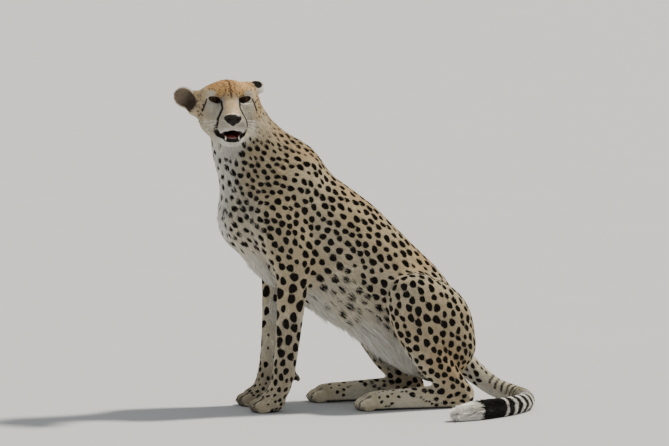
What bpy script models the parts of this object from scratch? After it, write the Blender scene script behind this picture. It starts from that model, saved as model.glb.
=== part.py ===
"""A life-size cheetah, sitting on level ground with its head turned to its left.

The whole body is one smooth solid: round forms laid along the bones, each a signed distance to its
surface, are blended into one distance field. The field's zero surface becomes a mesh, its soles are
cut level at the floor, the teeth and claws are joined on, and thin straight cuts part it into the
named lengths of the animal. +X is the animal's left, it faces -Y and +Z is up, all in metres.
"""
import math

import bmesh
import bpy
import numpy as np
import openvdb
from mathutils import Matrix, Vector

# ---- meshing
FINE_STEP = 0.003          # grid step through the head
COARSE_STEP = 0.0055       # grid step elsewhere
FINE_LOW = (-0.10, -0.35, 0.64)
FINE_HIGH = (0.17, -0.14, 0.84)
GRID_LOW = (-0.19, -0.36, -0.02)
GRID_HIGH = (0.43, 0.60, 0.86)
FAR = 1.0                  # the field's value away from every form
MARGIN = 0.02              # how far past a form's box its distance is worked out
BODY_TRIANGLES = 3780
GAP = 0.0003               # left between two parts that touch

# ---- trunk and neck: y, z, half width, half depth of each section, from front to back
TRUNK = ((-0.098, 0.492, 0.080, 0.100), (-0.028, 0.470, 0.096, 0.140), (0.071, 0.398, 0.104, 0.150),
         (0.135, 0.347, 0.100, 0.145), (0.203, 0.295, 0.092, 0.135), (0.269, 0.239, 0.088, 0.128),
         (0.320, 0.180, 0.088, 0.112), (0.352, 0.125, 0.070, 0.075))
BREAST = ((0, -0.118, 0.470), (0.074, 0.082, 0.085))
BRISKET = ((0, -0.035, 0.375), (0.066, 0.085, 0.065))
NECK = ((0, -0.050, 0.555, 0.078, 0.118), (0, -0.098, 0.596, 0.068, 0.108),
        (-0.001, -0.135, 0.655, 0.059, 0.088), (-0.006, -0.152, 0.708, 0.053, 0.070),
        (-0.012, -0.178, 0.760, 0.046, 0.046))

# the feet and the tail are set 2 to 3 mm into the floor, where they are cut level

# ---- fore leg: x, y, z, half width, half depth, from the top down (left side; the right mirrors it)
SHOULDER_BLADE = ((0.045, 0.000, 0.585, 0.030, 0.035), (0.062, -0.030, 0.540, 0.040, 0.065),
                  (0.078, -0.080, 0.470, 0.042, 0.060))
UPPER_ARM = ((0.078, -0.090, 0.475, 0.040, 0.056), (0.083, -0.060, 0.420, 0.042, 0.058),
             (0.079, -0.035, 0.370, 0.037, 0.046))
FOREARM = ((0.079, -0.035, 0.375, 0.035, 0.044), (0.078, -0.037, 0.330, 0.033, 0.040),
           (0.075, -0.042, 0.250, 0.029, 0.034), (0.072, -0.049, 0.170, 0.026, 0.030),
           (0.070, -0.056, 0.110, 0.0265, 0.028), (0.070, -0.066, 0.065, 0.027, 0.0265),
           (0.070, -0.078, 0.040, 0.028, 0.024))
ELBOW = ((0.077, -0.010, 0.385), (0.022, 0.020, 0.024))
WRIST_PAD = ((0.070, -0.050, 0.100, 0.009, 0.009), (0.069, -0.026, 0.083, 0.007, 0.007))
FORE_PAW = ((0.070, -0.092, 0.0225), (0.031, 0.036, 0.025))

# ---- hind leg, folded: the right one is set further forward
THIGH = ((0.064, 0.365, 0.142, 0.050, 0.070), (0.088, 0.322, 0.215, 0.055, 0.090),
         (0.114, 0.265, 0.275, 0.044, 0.064))
SHANK = ((0.117, 0.257, 0.282, 0.038, 0.056), (0.117, 0.262, 0.210, 0.036, 0.052),
         (0.112, 0.310, 0.120, 0.030, 0.042), (0.106, 0.360, 0.065, 0.024, 0.032),
         (0.100, 0.392, 0.035, 0.021, 0.026))
HIND_FOOT = ((0.100, 0.396, 0.0225, 0.019, 0.025), (0.100, 0.330, 0.0265, 0.022, 0.029),
             (0.100, 0.250, 0.0245, 0.024, 0.027), (0.100, 0.190, 0.0225, 0.028, 0.025))
HIND_BALL = ((0.100, 0.165, 0.0215), (0.031, 0.035, 0.024))
RIGHT_KNEE_FORWARD = 0.045
RIGHT_FOOT_FORWARD = 0.070

# ---- toes, of each paw: x from the paw's middle, and how far it stays behind the longest
TOES = ((-0.0245, 0.006), (-0.0088, 0.0), (0.0088, 0.0), (0.0245, 0.006))
TOE_SIZE = (0.0112, 0.021, 0.0165)
TOE_HEIGHT = 0.0145
FORE_TOE_Y = -0.122
HIND_TOE_Y = 0.136
CLAW_LENGTH = 0.013
CLAW_RADIUS = 0.0028

# ---- tail, laid on the floor and round to the left: x, y, z, radius
TAIL = ((0.000, 0.390, 0.130, 0.034), (0.000, 0.448, 0.078, 0.028), (0.010, 0.500, 0.038, 0.0245),
        (0.045, 0.540, 0.0220, 0.0235), (0.110, 0.545, 0.0205, 0.0230), (0.200, 0.520, 0.0205, 0.0228),
        (0.280, 0.455, 0.0210, 0.0235), (0.340, 0.370, 0.0225, 0.0250), (0.370, 0.300, 0.0180, 0.0205))

# ---- head: its own axes are forward, left and up, from the point midway between the eyes
EYES = Vector((0.075, -0.194, 0.7675))
FACING = Vector((0.9936, -0.1132, 0.0)).normalized()
LEFT = Vector((0, 0, 1)).cross(FACING)
HEAD_AXES = (FACING, LEFT, Vector((0, 0, 1)))
EYE_RADIUS = 0.0165
EYE_PLACE = (-0.0125, 0.0385, -0.002)
SKULL = ((-0.055, 0, -0.005), (0.076, 0.066, 0.0445))
FOREHEAD = ((-0.022, 0, 0.010), (0.040, 0.049, 0.0285))
THROAT = ((-0.030, 0, -0.075), (0.055, 0.040, 0.034))
BROW = ((-0.015, 0.036, 0.017), (0.022, 0.024, 0.012))
CHEEK = ((-0.046, 0.044, -0.026), (0.046, 0.034, 0.046))
UNDER_EYE = ((-0.006, 0.034, -0.036), (0.034, 0.028, 0.031))
MUZZLE = ((0.022, 0, -0.054), (0.042, 0.034, 0.030))
NOSE_BRIDGE = ((-0.012, 0, -0.002, 0.023, 0.018), (0.020, 0, -0.022, 0.021, 0.019),
               (0.058, 0, -0.040, 0.021, 0.013))
WHISKER_PAD = ((0.041, 0.0195, -0.0615), (0.028, 0.0200, 0.0220))
JAWBONE = ((0.030, 0.016, -0.099, 0.011, 0.012), (-0.010, 0.034, -0.084, 0.015, 0.017),
           (-0.045, 0.047, -0.062, 0.018, 0.022))
CHIN = ((0.038, 0, -0.1005), (0.027, 0.022, 0.0150))
NOSE_TOP = ((0.0685, 0, -0.0445), (0.0095, 0.0215, 0.0090))
NOSE_FOOT = ((0.0680, 0, -0.0545), (0.0080, 0.0100, 0.0095))
EYE_HOLLOW = ((0.012, 0.039, -0.001), (0.020, 0.019, 0.0110))
MOUTH = ((0.040, 0, -0.0825), (0.042, 0.0205, 0.0095))
MOUTH_TILT = 10.0          # degrees, nose end down
TONGUE = ((0.030, 0, -0.0910), (0.026, 0.0130, 0.0050))
# root, tip and the way the cup opens, in the head's axes, then half the width
EAR_RIGHT = ((-0.056, -0.080, -0.013), (-0.060, -0.1235, 0.015), (0.95, -0.10, -0.20), 0.0265, (0.020, 0.022, 0.031))
EAR_LEFT = ((-0.064, 0.052, 0.022), (-0.094, 0.094, 0.027), (-0.80, 0.25, -0.45), 0.0195, (0.022, 0.020, 0.017))
LOWER_CANINE = (0.0500, 0.0128, -0.0925)
CANINE_LENGTH = 0.013
INCISORS = 6
INCISOR_PITCH = 0.0030
INCISOR_LENGTH = 0.006

# ---- colours: base colour, roughness
TAN = ((0.56, 0.38, 0.19), 0.85)
PALE = ((0.72, 0.62, 0.47), 0.88)
BUFF = ((0.64, 0.47, 0.26), 0.86)
PAW = ((0.60, 0.48, 0.32), 0.86)
RINGED = ((0.35, 0.27, 0.18), 0.88)
BLACK = ((0.025, 0.020, 0.018), 0.35)
AMBER = ((0.22, 0.09, 0.02), 0.08)
TONGUE_PINK = ((0.45, 0.12, 0.12), 0.40)

# ---- the parting cuts: a box's middle and half sizes, or a point, a way and half sizes
NOSE_BOX = ((0.0765, 0, -0.0500), (0.0125, 0.024, 0.0155))
JAW_BOX = ((-0.032, 0, -0.0295), (0.068, 0.060, 0.032))      # its middle is measured from the mouth's
EAR_SHARE = 0.86           # of the ear's length, measured back from its tip
EAR_HALF = (0.036, 0.032)
NAPE_CUT = (-0.062, 0, -0.078)
NAPE_SLOPE = (0.563, 0.827)                                  # forward and up
HEAD_HALF = (0.12, 0.17, 0.15)
NECK_CUT = ((0, -0.0735, 0.5632), (0, -0.54, 0.84), (0.12, 0.15, 0.20))
RUMP_CUT = ((0, 0.262, 0.248), (0, 0.76, -0.65), (0.16, 0.15, 0.22))
LOIN_CUT = ((0, 0.085, 0.390), (0, 0.76, -0.65), (0.16, 0.17, 0.22))
# name, colour, middle, half sizes, and whether it moves forward with the foot
LEG_BOXES = (("forepaw", PAW, (0.075, -0.090, 0.025), (0.05, 0.090, 0.050), 0),
             ("forearm", PALE, (0.090, -0.055, 0.190), (0.05, 0.070, 0.125), 0),
             ("upper_arm", BUFF, (0.102, -0.065, 0.425), (0.05, 0.095, 0.1095), 0),
             ("hind_foot", PAW, (0.105, 0.250, 0.020), (0.05, 0.200, 0.040), 1))
SHANK_CUT = ((0.130, 0.305, 0.185), (0.16, 0.05), (0, -0.82, -0.57))
SHANK_WIDTH = 0.054
THIGH_CUT = ((0.075, 0.320, 0.200), (0.07, 0.16, 0.19), (0.97, 0.24, 0))
TAIL_STEPS = 10            # points along the tail for each of its stations, to place the cuts by
TAIL_REACH = 0.20          # longer than any one length of the tail
TAIL_HEIGHT = 0.11
TAIL_CUTS = ((5, 6.5, 0.075), (4, 5, 0.075), (3, 3, 0.11), (2, 1, 0.075))    # number, station, half width
TAIL_ROOT_BOX = ((0, 0.478, 0.10), (0.05, 0.05, 0.08), ((1, 0, 0), (0, 0.78, -0.62)))


# ---------------------------------------------------------------- forms, as distances to their surface
def unit(vector):
    vector = np.asarray(vector, float)
    return vector / np.linalg.norm(vector)


def blend_min(first, second, width):
    """The nearer of two distances, rounded over where they are within width of each other."""
    near = np.clip(width - np.abs(first - second), 0.0, None)
    return np.minimum(first, second) - near * near / (4.0 * width)


class Form:
    """A shape's box and its distance function of x, y, z grids."""

    def __init__(self, low, high, distance):
        self.low, self.high, self.distance = low, high, distance


def ball(center, radii, axes=((1, 0, 0), (0, 1, 0), (0, 0, 1))):
    """An ellipsoid with its radii along the given axes."""
    center, radii = np.asarray(center, float), np.asarray(radii, float)
    axes = np.array([unit(axis) for axis in axes])
    reach = np.sqrt(((axes * radii[:, None]) ** 2).sum(0))

    def distance(x, y, z):
        x, y, z = x - center[0], y - center[1], z - center[2]
        scaled = steep = 0.0
        for (i, j, k), radius in zip(axes, radii):
            along = (i * x + j * y + k * z) / radius
            scaled = scaled + along * along
            steep = steep + (along / radius) ** 2
        scaled = np.sqrt(scaled)
        return scaled * (scaled - 1.0) / np.maximum(np.sqrt(steep), 1e-6)

    return Form(center - reach, center + reach, distance)


def smooth_rows(rows, steps):
    """Rows along a smooth curve through the given ones (Catmull-Rom)."""
    rows = np.asarray(rows, float)
    ends = np.vstack([2 * rows[0] - rows[1], rows, 2 * rows[-1] - rows[-2]])
    out = []
    for i in range(len(rows) - 1):
        a, b, c, d = ends[i:i + 4]
        for t in np.arange(steps) / steps:
            out.append(0.5 * (2 * b + (c - a) * t + (2 * a - 5 * b + 4 * c - d) * t * t
                              + (3 * b - a - 3 * c + d) * t ** 3))
    out.append(rows[-1])
    return np.array(out)


def limb(stations, across=(1, 0, 0), steps=4):
    """A tube through x, y, z, half width, half depth stations, its widths measured along across."""
    rows = smooth_rows(stations, steps)
    across = unit(across)
    reach = rows[:, 3:].max()

    def piece(start, end, x, y, z):
        way = end[:3] - start[:3]
        length = np.linalg.norm(way)
        way = way / length
        wide = unit(across - way * across.dot(way))
        deep = np.cross(way, wide)
        x, y, z = x - start[0], y - start[1], z - start[2]
        along = x * way[0] + y * way[1] + z * way[2]
        inside = np.clip(along, 0.0, length)
        past = along - inside
        u = x * wide[0] + y * wide[1] + z * wide[2]
        v = x * deep[0] + y * deep[1] + z * deep[2]
        share = inside / length
        width = start[3] + (end[3] - start[3]) * share
        depth = start[4] + (end[4] - start[4]) * share
        away = np.sqrt(u * u + v * v + past * past)
        ratio = np.sqrt((u / width) ** 2 + (v / depth) ** 2 + past * past / (width * depth))
        return np.where(ratio > 0.05, away - away / np.maximum(ratio, 1e-4), -np.minimum(width, depth))

    def distance(x, y, z):
        best = np.full(np.broadcast_shapes(x.shape, y.shape, z.shape), FAR, np.float32)
        for start, end in zip(rows[:-1], rows[1:]):
            near = max(start[3:].max(), end[3:].max()) + 3 * MARGIN
            low, high = np.minimum(start, end)[:3] - near, np.maximum(start, end)[:3] + near
            cut = tuple(slice(*np.searchsorted(axis.ravel(), (a, b)))
                        for axis, a, b in zip((x, y, z), low, high))
            if min(part.stop - part.start for part in cut) > 0:
                found = piece(start, end, x[cut[0]], y[:, cut[1]], z[:, :, cut[2]])
                best[cut] = np.minimum(best[cut], found)
        return best

    return Form(rows[:, :3].min(0) - reach, rows[:, :3].max(0) + reach, distance)


class Field:
    """The distance to everything added so far, on a grid that is finer through the head."""

    def __init__(self):
        self.axes = [self.axis(*span) for span in zip(GRID_LOW, FINE_LOW, FINE_HIGH, GRID_HIGH)]
        self.value = np.full([len(axis) for axis in self.axes], FAR, np.float32)

    @staticmethod
    def axis(low, fine_low, fine_high, high):
        return np.concatenate([np.arange(low, fine_low, COARSE_STEP),
                               np.arange(fine_low, fine_high, FINE_STEP),
                               np.arange(fine_high, high, COARSE_STEP)]).astype(np.float32)

    def window(self, form, margin):
        cut = tuple(slice(*np.searchsorted(axis, (low - margin, high + margin)))
                    for axis, low, high in zip(self.axes, form.low, form.high))
        return cut, np.meshgrid(*[axis[part] for axis, part in zip(self.axes, cut)],
                                indexing="ij", sparse=True)

    def add(self, form, blend):
        cut, grid = self.window(form, blend + MARGIN)
        self.value[cut] = blend_min(self.value[cut], form.distance(*grid), blend)

    def carve(self, form, blend):
        cut, grid = self.window(form, blend + MARGIN)
        self.value[cut] = -blend_min(-self.value[cut], form.distance(*grid), blend)

    def surface(self):
        """The zero surface as points and four-cornered faces."""
        grid = openvdb.FloatGrid(FAR)
        grid.copyFromArray(self.value)
        points, quads = grid.convertToQuads(isovalue=0.0)
        places = [np.interp(points[:, i], np.arange(len(axis)), axis)
                  for i, axis in enumerate(self.axes)]
        return np.stack(places, 1), quads[:, ::-1]


# ---------------------------------------------------------------- the body's forms
def mirrored(rows, side, forward=(0.0, 0.0)):
    """Stations for one side: x is mirrored, and y moves forward by an amount that grows downwards."""
    shifts = np.linspace(forward[0], forward[1], len(rows))
    return [(side * row[0], row[1] - shift, *row[2:]) for row, shift in zip(rows, shifts)]


def toe_places(paw_x, toe_y):
    return [(paw_x + across, toe_y + behind, TOE_HEIGHT) for across, behind in TOES]


def paw_centers():
    """The middle x and the toe line's y of each paw."""
    fore_x, hind_x = FORE_PAW[0][0], HIND_BALL[0][0]
    return {"forepaw_left": (fore_x, FORE_TOE_Y), "forepaw_right": (-fore_x, FORE_TOE_Y),
            "hind_foot_left": (hind_x, HIND_TOE_Y),
            "hind_foot_right": (-hind_x, HIND_TOE_Y - RIGHT_FOOT_FORWARD)}


def add_trunk(field):
    field.add(limb([(0, *row) for row in TRUNK]), 0.01)
    field.add(ball(*BREAST), 0.04)
    field.add(ball(*BRISKET), 0.04)
    field.add(limb(NECK), 0.05)


def add_fore_leg(field, side):
    field.add(limb(mirrored(SHOULDER_BLADE, side)), 0.03)
    field.add(limb(mirrored(UPPER_ARM, side)), 0.03)
    field.add(limb(mirrored(FOREARM, side)), 0.02)
    for place, radii, blend in ((*ELBOW, 0.02), (*FORE_PAW, 0.012)):
        field.add(ball((side * place[0], *place[1:]), radii), blend)
    field.add(limb(mirrored(WRIST_PAD, side)), 0.01)


def add_hind_leg(field, side):
    knee, foot = (RIGHT_KNEE_FORWARD, RIGHT_FOOT_FORWARD) if side < 0 else (0.0, 0.0)
    field.add(limb(mirrored(THIGH, side, (0.0, knee))), 0.055)
    field.add(limb(mirrored(SHANK, side, (knee, foot))), 0.02)
    field.add(limb(mirrored(HIND_FOOT, side, (foot, foot))), 0.015)
    place, radii = HIND_BALL
    field.add(ball((side * place[0], place[1] - foot, place[2]), radii), 0.012)


def add_toes(field):
    for paw_x, toe_y in paw_centers().values():
        for place in toe_places(paw_x, toe_y):
            field.add(ball(place, TOE_SIZE), 0.004)


def add_tail(field):
    field.add(limb([(*row, row[3]) for row in TAIL], across=(0, 0, 1), steps=5), 0.02)


def on_head(place):
    """A point given in the head's axes."""
    return EYES + sum((axis * length for axis, length in zip(HEAD_AXES, place)), Vector())


def head_ball(place, radii, side=1, tilt=0.0):
    turn = Matrix.Rotation(math.radians(tilt), 3, LEFT)
    return ball(on_head((place[0], side * place[1], place[2])), radii, [turn @ axis for axis in HEAD_AXES])


def head_limb(stations, side=1):
    rows = [(*on_head((a, side * b, c)), width, depth) for a, b, c, width, depth in stations]
    return limb(rows, across=LEFT, steps=3)


def ear_axes(ear):
    """Root, tip, and the ear's own axes: along it, across it and the way its cup opens."""
    root, tip = on_head(ear[0]), on_head(ear[1])
    along = (tip - root).normalized()
    opening = sum((axis * part for axis, part in zip(HEAD_AXES, ear[2])), Vector())
    opening = (opening - along * opening.dot(along)).normalized()
    return root, tip, (along, opening.cross(along), opening)


def add_ear(field, ear):
    root, tip, axes = ear_axes(ear)
    along, _, opening = axes
    half, width = (tip - root).length / 2, ear[3]
    middle = (root + tip) / 2
    field.add(head_ball(ear[0], ear[4]), 0.014)
    field.add(ball(middle + along * 0.002, (half * 1.06, width, 0.014), axes), 0.006)
    field.carve(ball(middle + opening * 0.013 + along * 0.003, (half, width * 0.8, 0.0165), axes), 0.003)


def add_head(field):
    field.add(head_ball(*SKULL), 0.03)
    field.add(head_ball(*FOREHEAD), 0.015)
    field.add(head_ball(*THROAT), 0.03)
    for side in (1, -1):
        field.add(head_ball(*BROW, side), 0.012)
        field.add(head_ball(*CHEEK, side), 0.03)
        field.add(head_ball(*UNDER_EYE, side), 0.02)
    field.add(head_ball(*MUZZLE), 0.02)
    field.add(head_limb(NOSE_BRIDGE), 0.012)
    for side in (1, -1):
        field.add(head_ball(*WHISKER_PAD, side), 0.008)
        field.add(head_limb(JAWBONE, side), 0.015)
    field.add(head_ball(*CHIN), 0.012)
    field.add(head_ball(*NOSE_TOP), 0.005)
    field.add(head_ball(*NOSE_FOOT), 0.004)
    for side in (1, -1):
        field.carve(head_ball(*EYE_HOLLOW, side), 0.008)
    field.carve(head_ball(*MOUTH, tilt=MOUTH_TILT), 0.003)
    for ear in (EAR_RIGHT, EAR_LEFT):
        add_ear(field, ear)


def body_field():
    field = Field()
    add_trunk(field)
    for side in (1, -1):
        add_fore_leg(field, side)
        add_hind_leg(field, side)
    add_toes(field)
    add_tail(field)
    add_head(field)
    return field


# ---------------------------------------------------------------- meshes and cuts
def clear_scene():
    for thing in list(bpy.data.objects):
        bpy.data.objects.remove(thing)


def make_collection(name):
    collection = bpy.data.collections.new(name)
    bpy.context.scene.collection.children.link(collection)
    return collection


def make_object(name, mesh, collection):
    thing = bpy.data.objects.new(name, mesh)
    collection.objects.link(thing)
    return thing


def mesh_from(name, fill):
    """A mesh that the fill function makes in a bmesh."""
    bm = bmesh.new()
    fill(bm)
    mesh = bpy.data.meshes.new(name)
    bm.to_mesh(mesh)
    bm.free()
    return mesh


def apply_modifiers(thing):
    """The object's evaluated mesh takes the place of its mesh and modifiers."""
    evaluated = thing.evaluated_get(bpy.context.evaluated_depsgraph_get())
    mesh = bpy.data.meshes.new_from_object(evaluated)
    thing.modifiers.clear()
    thing.data = mesh


def cut(thing, cutter, operation):
    boolean = thing.modifiers.new(operation.lower(), "BOOLEAN")
    boolean.operation = operation
    boolean.object = cutter
    apply_modifiers(thing)


def frame_matrix(center, axes):
    """The placing matrix of a shape whose own x and y lie along the first two axes."""
    first, second = Vector(axes[0]).normalized(), Vector(axes[1]).normalized()
    turn = Matrix((first, second, first.cross(second))).transposed().to_4x4()
    return Matrix.Translation(center) @ turn


def block(center, half, axes=((1, 0, 0), (0, 1, 0)), grow=0.0):
    """A box as a mesh: its centre, half sizes and axes."""
    scale = Matrix.Diagonal((*[2 * (size + grow) for size in half], 1))

    def fill(bm):
        bmesh.ops.create_cube(bm, size=1, matrix=frame_matrix(center, axes) @ scale)

    return mesh_from("block", fill)


def globe(center, radii, axes=((1, 0, 0), (0, 1, 0)), grow=0.0, rings=(14, 8)):
    scale = Matrix.Diagonal((*[radius + grow for radius in radii], 1))

    def fill(bm):
        bmesh.ops.create_uvsphere(bm, u_segments=rings[0], v_segments=rings[1], radius=1,
                                  matrix=frame_matrix(center, axes) @ scale)

    return mesh_from("globe", fill)


class Carcass:
    """The joined body, from which named parts are taken one by one."""

    def __init__(self, parts, cutters):
        self.parts, self.cutters = parts, cutters
        points, quads = body_field().surface()
        mesh = bpy.data.meshes.new("body")
        mesh.from_pydata(points.tolist(), [], quads.tolist())
        self.body = make_object("body", mesh, parts)
        thin = self.body.modifiers.new("thin", "DECIMATE")
        thin.ratio = BODY_TRIANGLES / (2 * len(quads))
        apply_modifiers(self.body)

    def cutter(self, mesh):
        thing = make_object("cutter", mesh, self.cutters)
        thing.hide_render = True
        thing.display_type = "WIRE"
        return thing

    def use(self, thing, mesh, operation):
        cutter = self.cutter(mesh)
        cut(thing, cutter, operation)
        bpy.data.objects.remove(cutter)

    def join(self, mesh):
        self.use(self.body, mesh, "UNION")

    def remove(self, mesh):
        self.use(self.body, mesh, "DIFFERENCE")

    def take(self, name, colour, shape, *sizes, **more):
        """What lies inside a shape becomes a part; the body keeps clear of it by the gap."""
        part = make_object(name, self.body.data.copy(), self.parts)
        self.use(part, shape(*sizes, **more), "INTERSECT")
        self.use(self.body, shape(*sizes, **more, grow=GAP), "DIFFERENCE")
        finish(part, colour)

    def inset(self, name, colour, shape, *sizes, **more):
        """A separate round part, let into the body with a gap all round."""
        self.remove(shape(*sizes, **more, grow=GAP))
        part = make_object(name, shape(*sizes, **more), self.parts)
        finish(part, colour)

    def rest(self, name, colour):
        self.body.name = name
        finish(self.body, colour)


def finish(part, colour):
    (red, green, blue), roughness = colour
    material = bpy.data.materials.new(part.name)
    material.use_nodes = True
    shader = material.node_tree.nodes["Principled BSDF"]
    shader.inputs["Base Color"].default_value = (red, green, blue, 1)
    shader.inputs["Roughness"].default_value = roughness
    part.data.materials.clear()
    part.data.materials.append(material)
    part.data.shade_smooth()
    part.data.set_sharp_from_angle(angle=math.radians(50))


# ---------------------------------------------------------------- teeth, claws and the parting cuts
def spike(bm, root, tip, radius, sides=5):
    """A cone from root to tip, with a narrow blunt end."""
    way = Vector(tip) - Vector(root)
    place = Matrix.Translation((Vector(root) + Vector(tip)) / 2) @ way.to_track_quat("Z", "Y").to_matrix().to_4x4()
    bmesh.ops.create_cone(bm, cap_ends=True, segments=sides, radius1=radius, radius2=radius * 0.25,
                          depth=way.length, matrix=place)


def lower_teeth(bm):
    a, b, c = LOWER_CANINE
    for side in (1, -1):
        spike(bm, on_head((a - 0.001, side * b, c - 0.006)),
              on_head((a + 0.002, side * b * 1.05, c - 0.006 + CANINE_LENGTH)), 0.0030)
    for i in range(INCISORS):
        across = (i - (INCISORS - 1) / 2) * INCISOR_PITCH
        root = on_head((a + 0.004, across, c - 0.005))
        spike(bm, root, root + Vector((0, 0, INCISOR_LENGTH)), INCISOR_PITCH * 0.42, sides=4)


def claws(bm):
    for paw_x, toe_y in paw_centers().values():
        for x, y, _ in toe_places(paw_x, toe_y):
            root = Vector((x, y - TOE_SIZE[1] + 0.006, TOE_HEIGHT + 0.004))
            spike(bm, root, root + Vector((0, -CLAW_LENGTH * 0.8, -CLAW_LENGTH * 0.62)), CLAW_RADIUS)


def take_head_parts(carcass):
    for side, word in ((1, "left"), (-1, "right")):
        place = on_head((EYE_PLACE[0], side * EYE_PLACE[1], EYE_PLACE[2]))
        carcass.inset(f"eye_{word}", AMBER, globe, place, (EYE_RADIUS,) * 3)
    for word, ear in (("left", EAR_LEFT), ("right", EAR_RIGHT)):
        root, tip, axes = ear_axes(ear)
        carcass.take(f"ear_{word}", TAN, block, tip, ((tip - root).length * EAR_SHARE, *EAR_HALF), axes)
    middle, half = NOSE_BOX
    carcass.take("nose", BLACK, block, on_head(middle), half, HEAD_AXES)
    tilt = Matrix.Rotation(math.radians(MOUTH_TILT), 3, LEFT)
    jaw_axes = [tilt @ axis for axis in HEAD_AXES]
    (back, _, under), half = JAW_BOX
    middle = on_head(MOUTH[0]) + jaw_axes[0] * back + jaw_axes[2] * under
    carcass.inset("tongue", TONGUE_PINK, globe, on_head(TONGUE[0]), TONGUE[1], jaw_axes, rings=(12, 6))
    carcass.take("jaw", PALE, block, middle, half, jaw_axes)
    up = (FACING * NAPE_SLOPE[0] + Vector((0, 0, NAPE_SLOPE[1]))).normalized()
    carcass.take("head", TAN, block, on_head(NAPE_CUT) + up * HEAD_HALF[0], HEAD_HALF, (up, LEFT))


def take_tail(carcass):
    """From the tip back to the root, each cut square to the tail."""
    rows = smooth_rows(TAIL, TAIL_STEPS)
    for number, station, half_width in TAIL_CUTS:
        i = int(station * TAIL_STEPS)
        point, way = Vector(rows[i][:3]), Vector(rows[i + 1][:3] - rows[i - 1][:3]).normalized()
        across = Vector((0, 0, 1)).cross(way).normalized()
        carcass.take(f"tail_{number}", RINGED, block, point + way * TAIL_REACH / 2,
                     (TAIL_REACH / 2, half_width, TAIL_HEIGHT), (way, across))
    carcass.take("tail_1", BUFF, block, *TAIL_ROOT_BOX)


def take_legs(carcass, side, word):
    knee, foot = (RIGHT_KNEE_FORWARD, RIGHT_FOOT_FORWARD) if side < 0 else (0.0, 0.0)
    for name, colour, (x, y, z), half, forward in LEG_BOXES:
        middle = Vector((side * x, y - forward * foot, z))
        carcass.take(f"{name}_{word}", colour, block, middle, half)
    (x, y, z), (tall, reach), front = SHANK_CUT
    front = Vector(front).normalized()
    carcass.take(f"shank_{word}", PALE, block, Vector((side * x, y - knee, z)) + front * reach,
                 (SHANK_WIDTH, reach, tall), ((1, 0, 0), front))
    (x, y, z), half, (sideways, backward, _) = THIGH_CUT
    outward = Vector((side * sideways, backward, 0)).normalized()
    carcass.take(f"thigh_{word}", BUFF, block, Vector((side * x, y, z)) + outward * half[0],
                 half, (outward, (-outward.y, outward.x, 0)))


def take_beyond(carcass, name, point, way, half):
    """The part of the trunk or neck that lies beyond a plane through a point of the middle line."""
    way = Vector(way).normalized()
    carcass.take(name, BUFF, block, Vector(point) + way * half[1], half, ((1, 0, 0), way))


def stand_at_origin(parts):
    """The origin goes to the middle of the whole animal's box, at the floor."""
    corners = [vertex.co for part in parts.objects for vertex in part.data.vertices]
    low = Vector([min(point[i] for point in corners) for i in range(3)])
    high = Vector([max(point[i] for point in corners) for i in range(3)])
    shift = Matrix.Translation((-(low.x + high.x) / 2, -(low.y + high.y) / 2, -low.z))
    for part in parts.objects:
        part.data.transform(shift)


def main():
    clear_scene()
    parts, cutters = make_collection("cheetah"), make_collection("cutters")
    carcass = Carcass(parts, cutters)
    carcass.join(mesh_from("teeth", lower_teeth))
    carcass.join(mesh_from("claws", claws))
    carcass.remove(block((0.1, 0.1, -0.05), (0.6, 0.8, 0.05)))
    take_head_parts(carcass)
    take_beyond(carcass, "neck", *NECK_CUT)
    take_tail(carcass)
    for side, word in ((1, "left"), (-1, "right")):
        take_legs(carcass, side, word)
    take_beyond(carcass, "rump", *RUMP_CUT)
    take_beyond(carcass, "loin", *LOIN_CUT)
    carcass.rest("chest", BUFF)
    stand_at_origin(parts)


main()
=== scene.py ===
"""A life-size cheetah, sitting on level ground with its head turned to its left.

One skin, with lids, lips and nostrils, covers the whole animal. Short tufts lie over it the way the
hair grows, longer on the breast, belly and tail. Eyes, tongue, teeth, claws and whiskers are pieces
of their own. Skin and coat carry the same spots, tear lines and tail rings. +X is the animal's left,
it faces -Y and +Z is up, in metres.
"""
import math

import bpy
import numpy as np
import openvdb
from mathutils import Matrix, Vector
from mathutils.kdtree import KDTree

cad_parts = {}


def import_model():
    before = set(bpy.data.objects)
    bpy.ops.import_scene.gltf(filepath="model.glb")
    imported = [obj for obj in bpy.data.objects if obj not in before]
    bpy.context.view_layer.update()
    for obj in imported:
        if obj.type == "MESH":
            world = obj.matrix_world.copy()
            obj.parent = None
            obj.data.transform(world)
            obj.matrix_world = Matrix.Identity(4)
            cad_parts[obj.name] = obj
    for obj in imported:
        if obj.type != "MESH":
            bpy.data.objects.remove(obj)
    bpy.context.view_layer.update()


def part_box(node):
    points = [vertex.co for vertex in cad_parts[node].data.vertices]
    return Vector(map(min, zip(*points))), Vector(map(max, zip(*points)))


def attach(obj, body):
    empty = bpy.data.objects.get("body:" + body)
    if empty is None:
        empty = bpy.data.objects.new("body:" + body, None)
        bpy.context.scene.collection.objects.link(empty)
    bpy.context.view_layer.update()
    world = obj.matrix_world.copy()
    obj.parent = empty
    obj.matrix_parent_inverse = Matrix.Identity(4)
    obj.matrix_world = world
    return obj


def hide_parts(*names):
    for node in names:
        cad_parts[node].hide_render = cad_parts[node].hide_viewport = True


# ---- meshing
COARSE_STEP = 0.0045       # grid step through the trunk, the limbs and the tail
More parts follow.
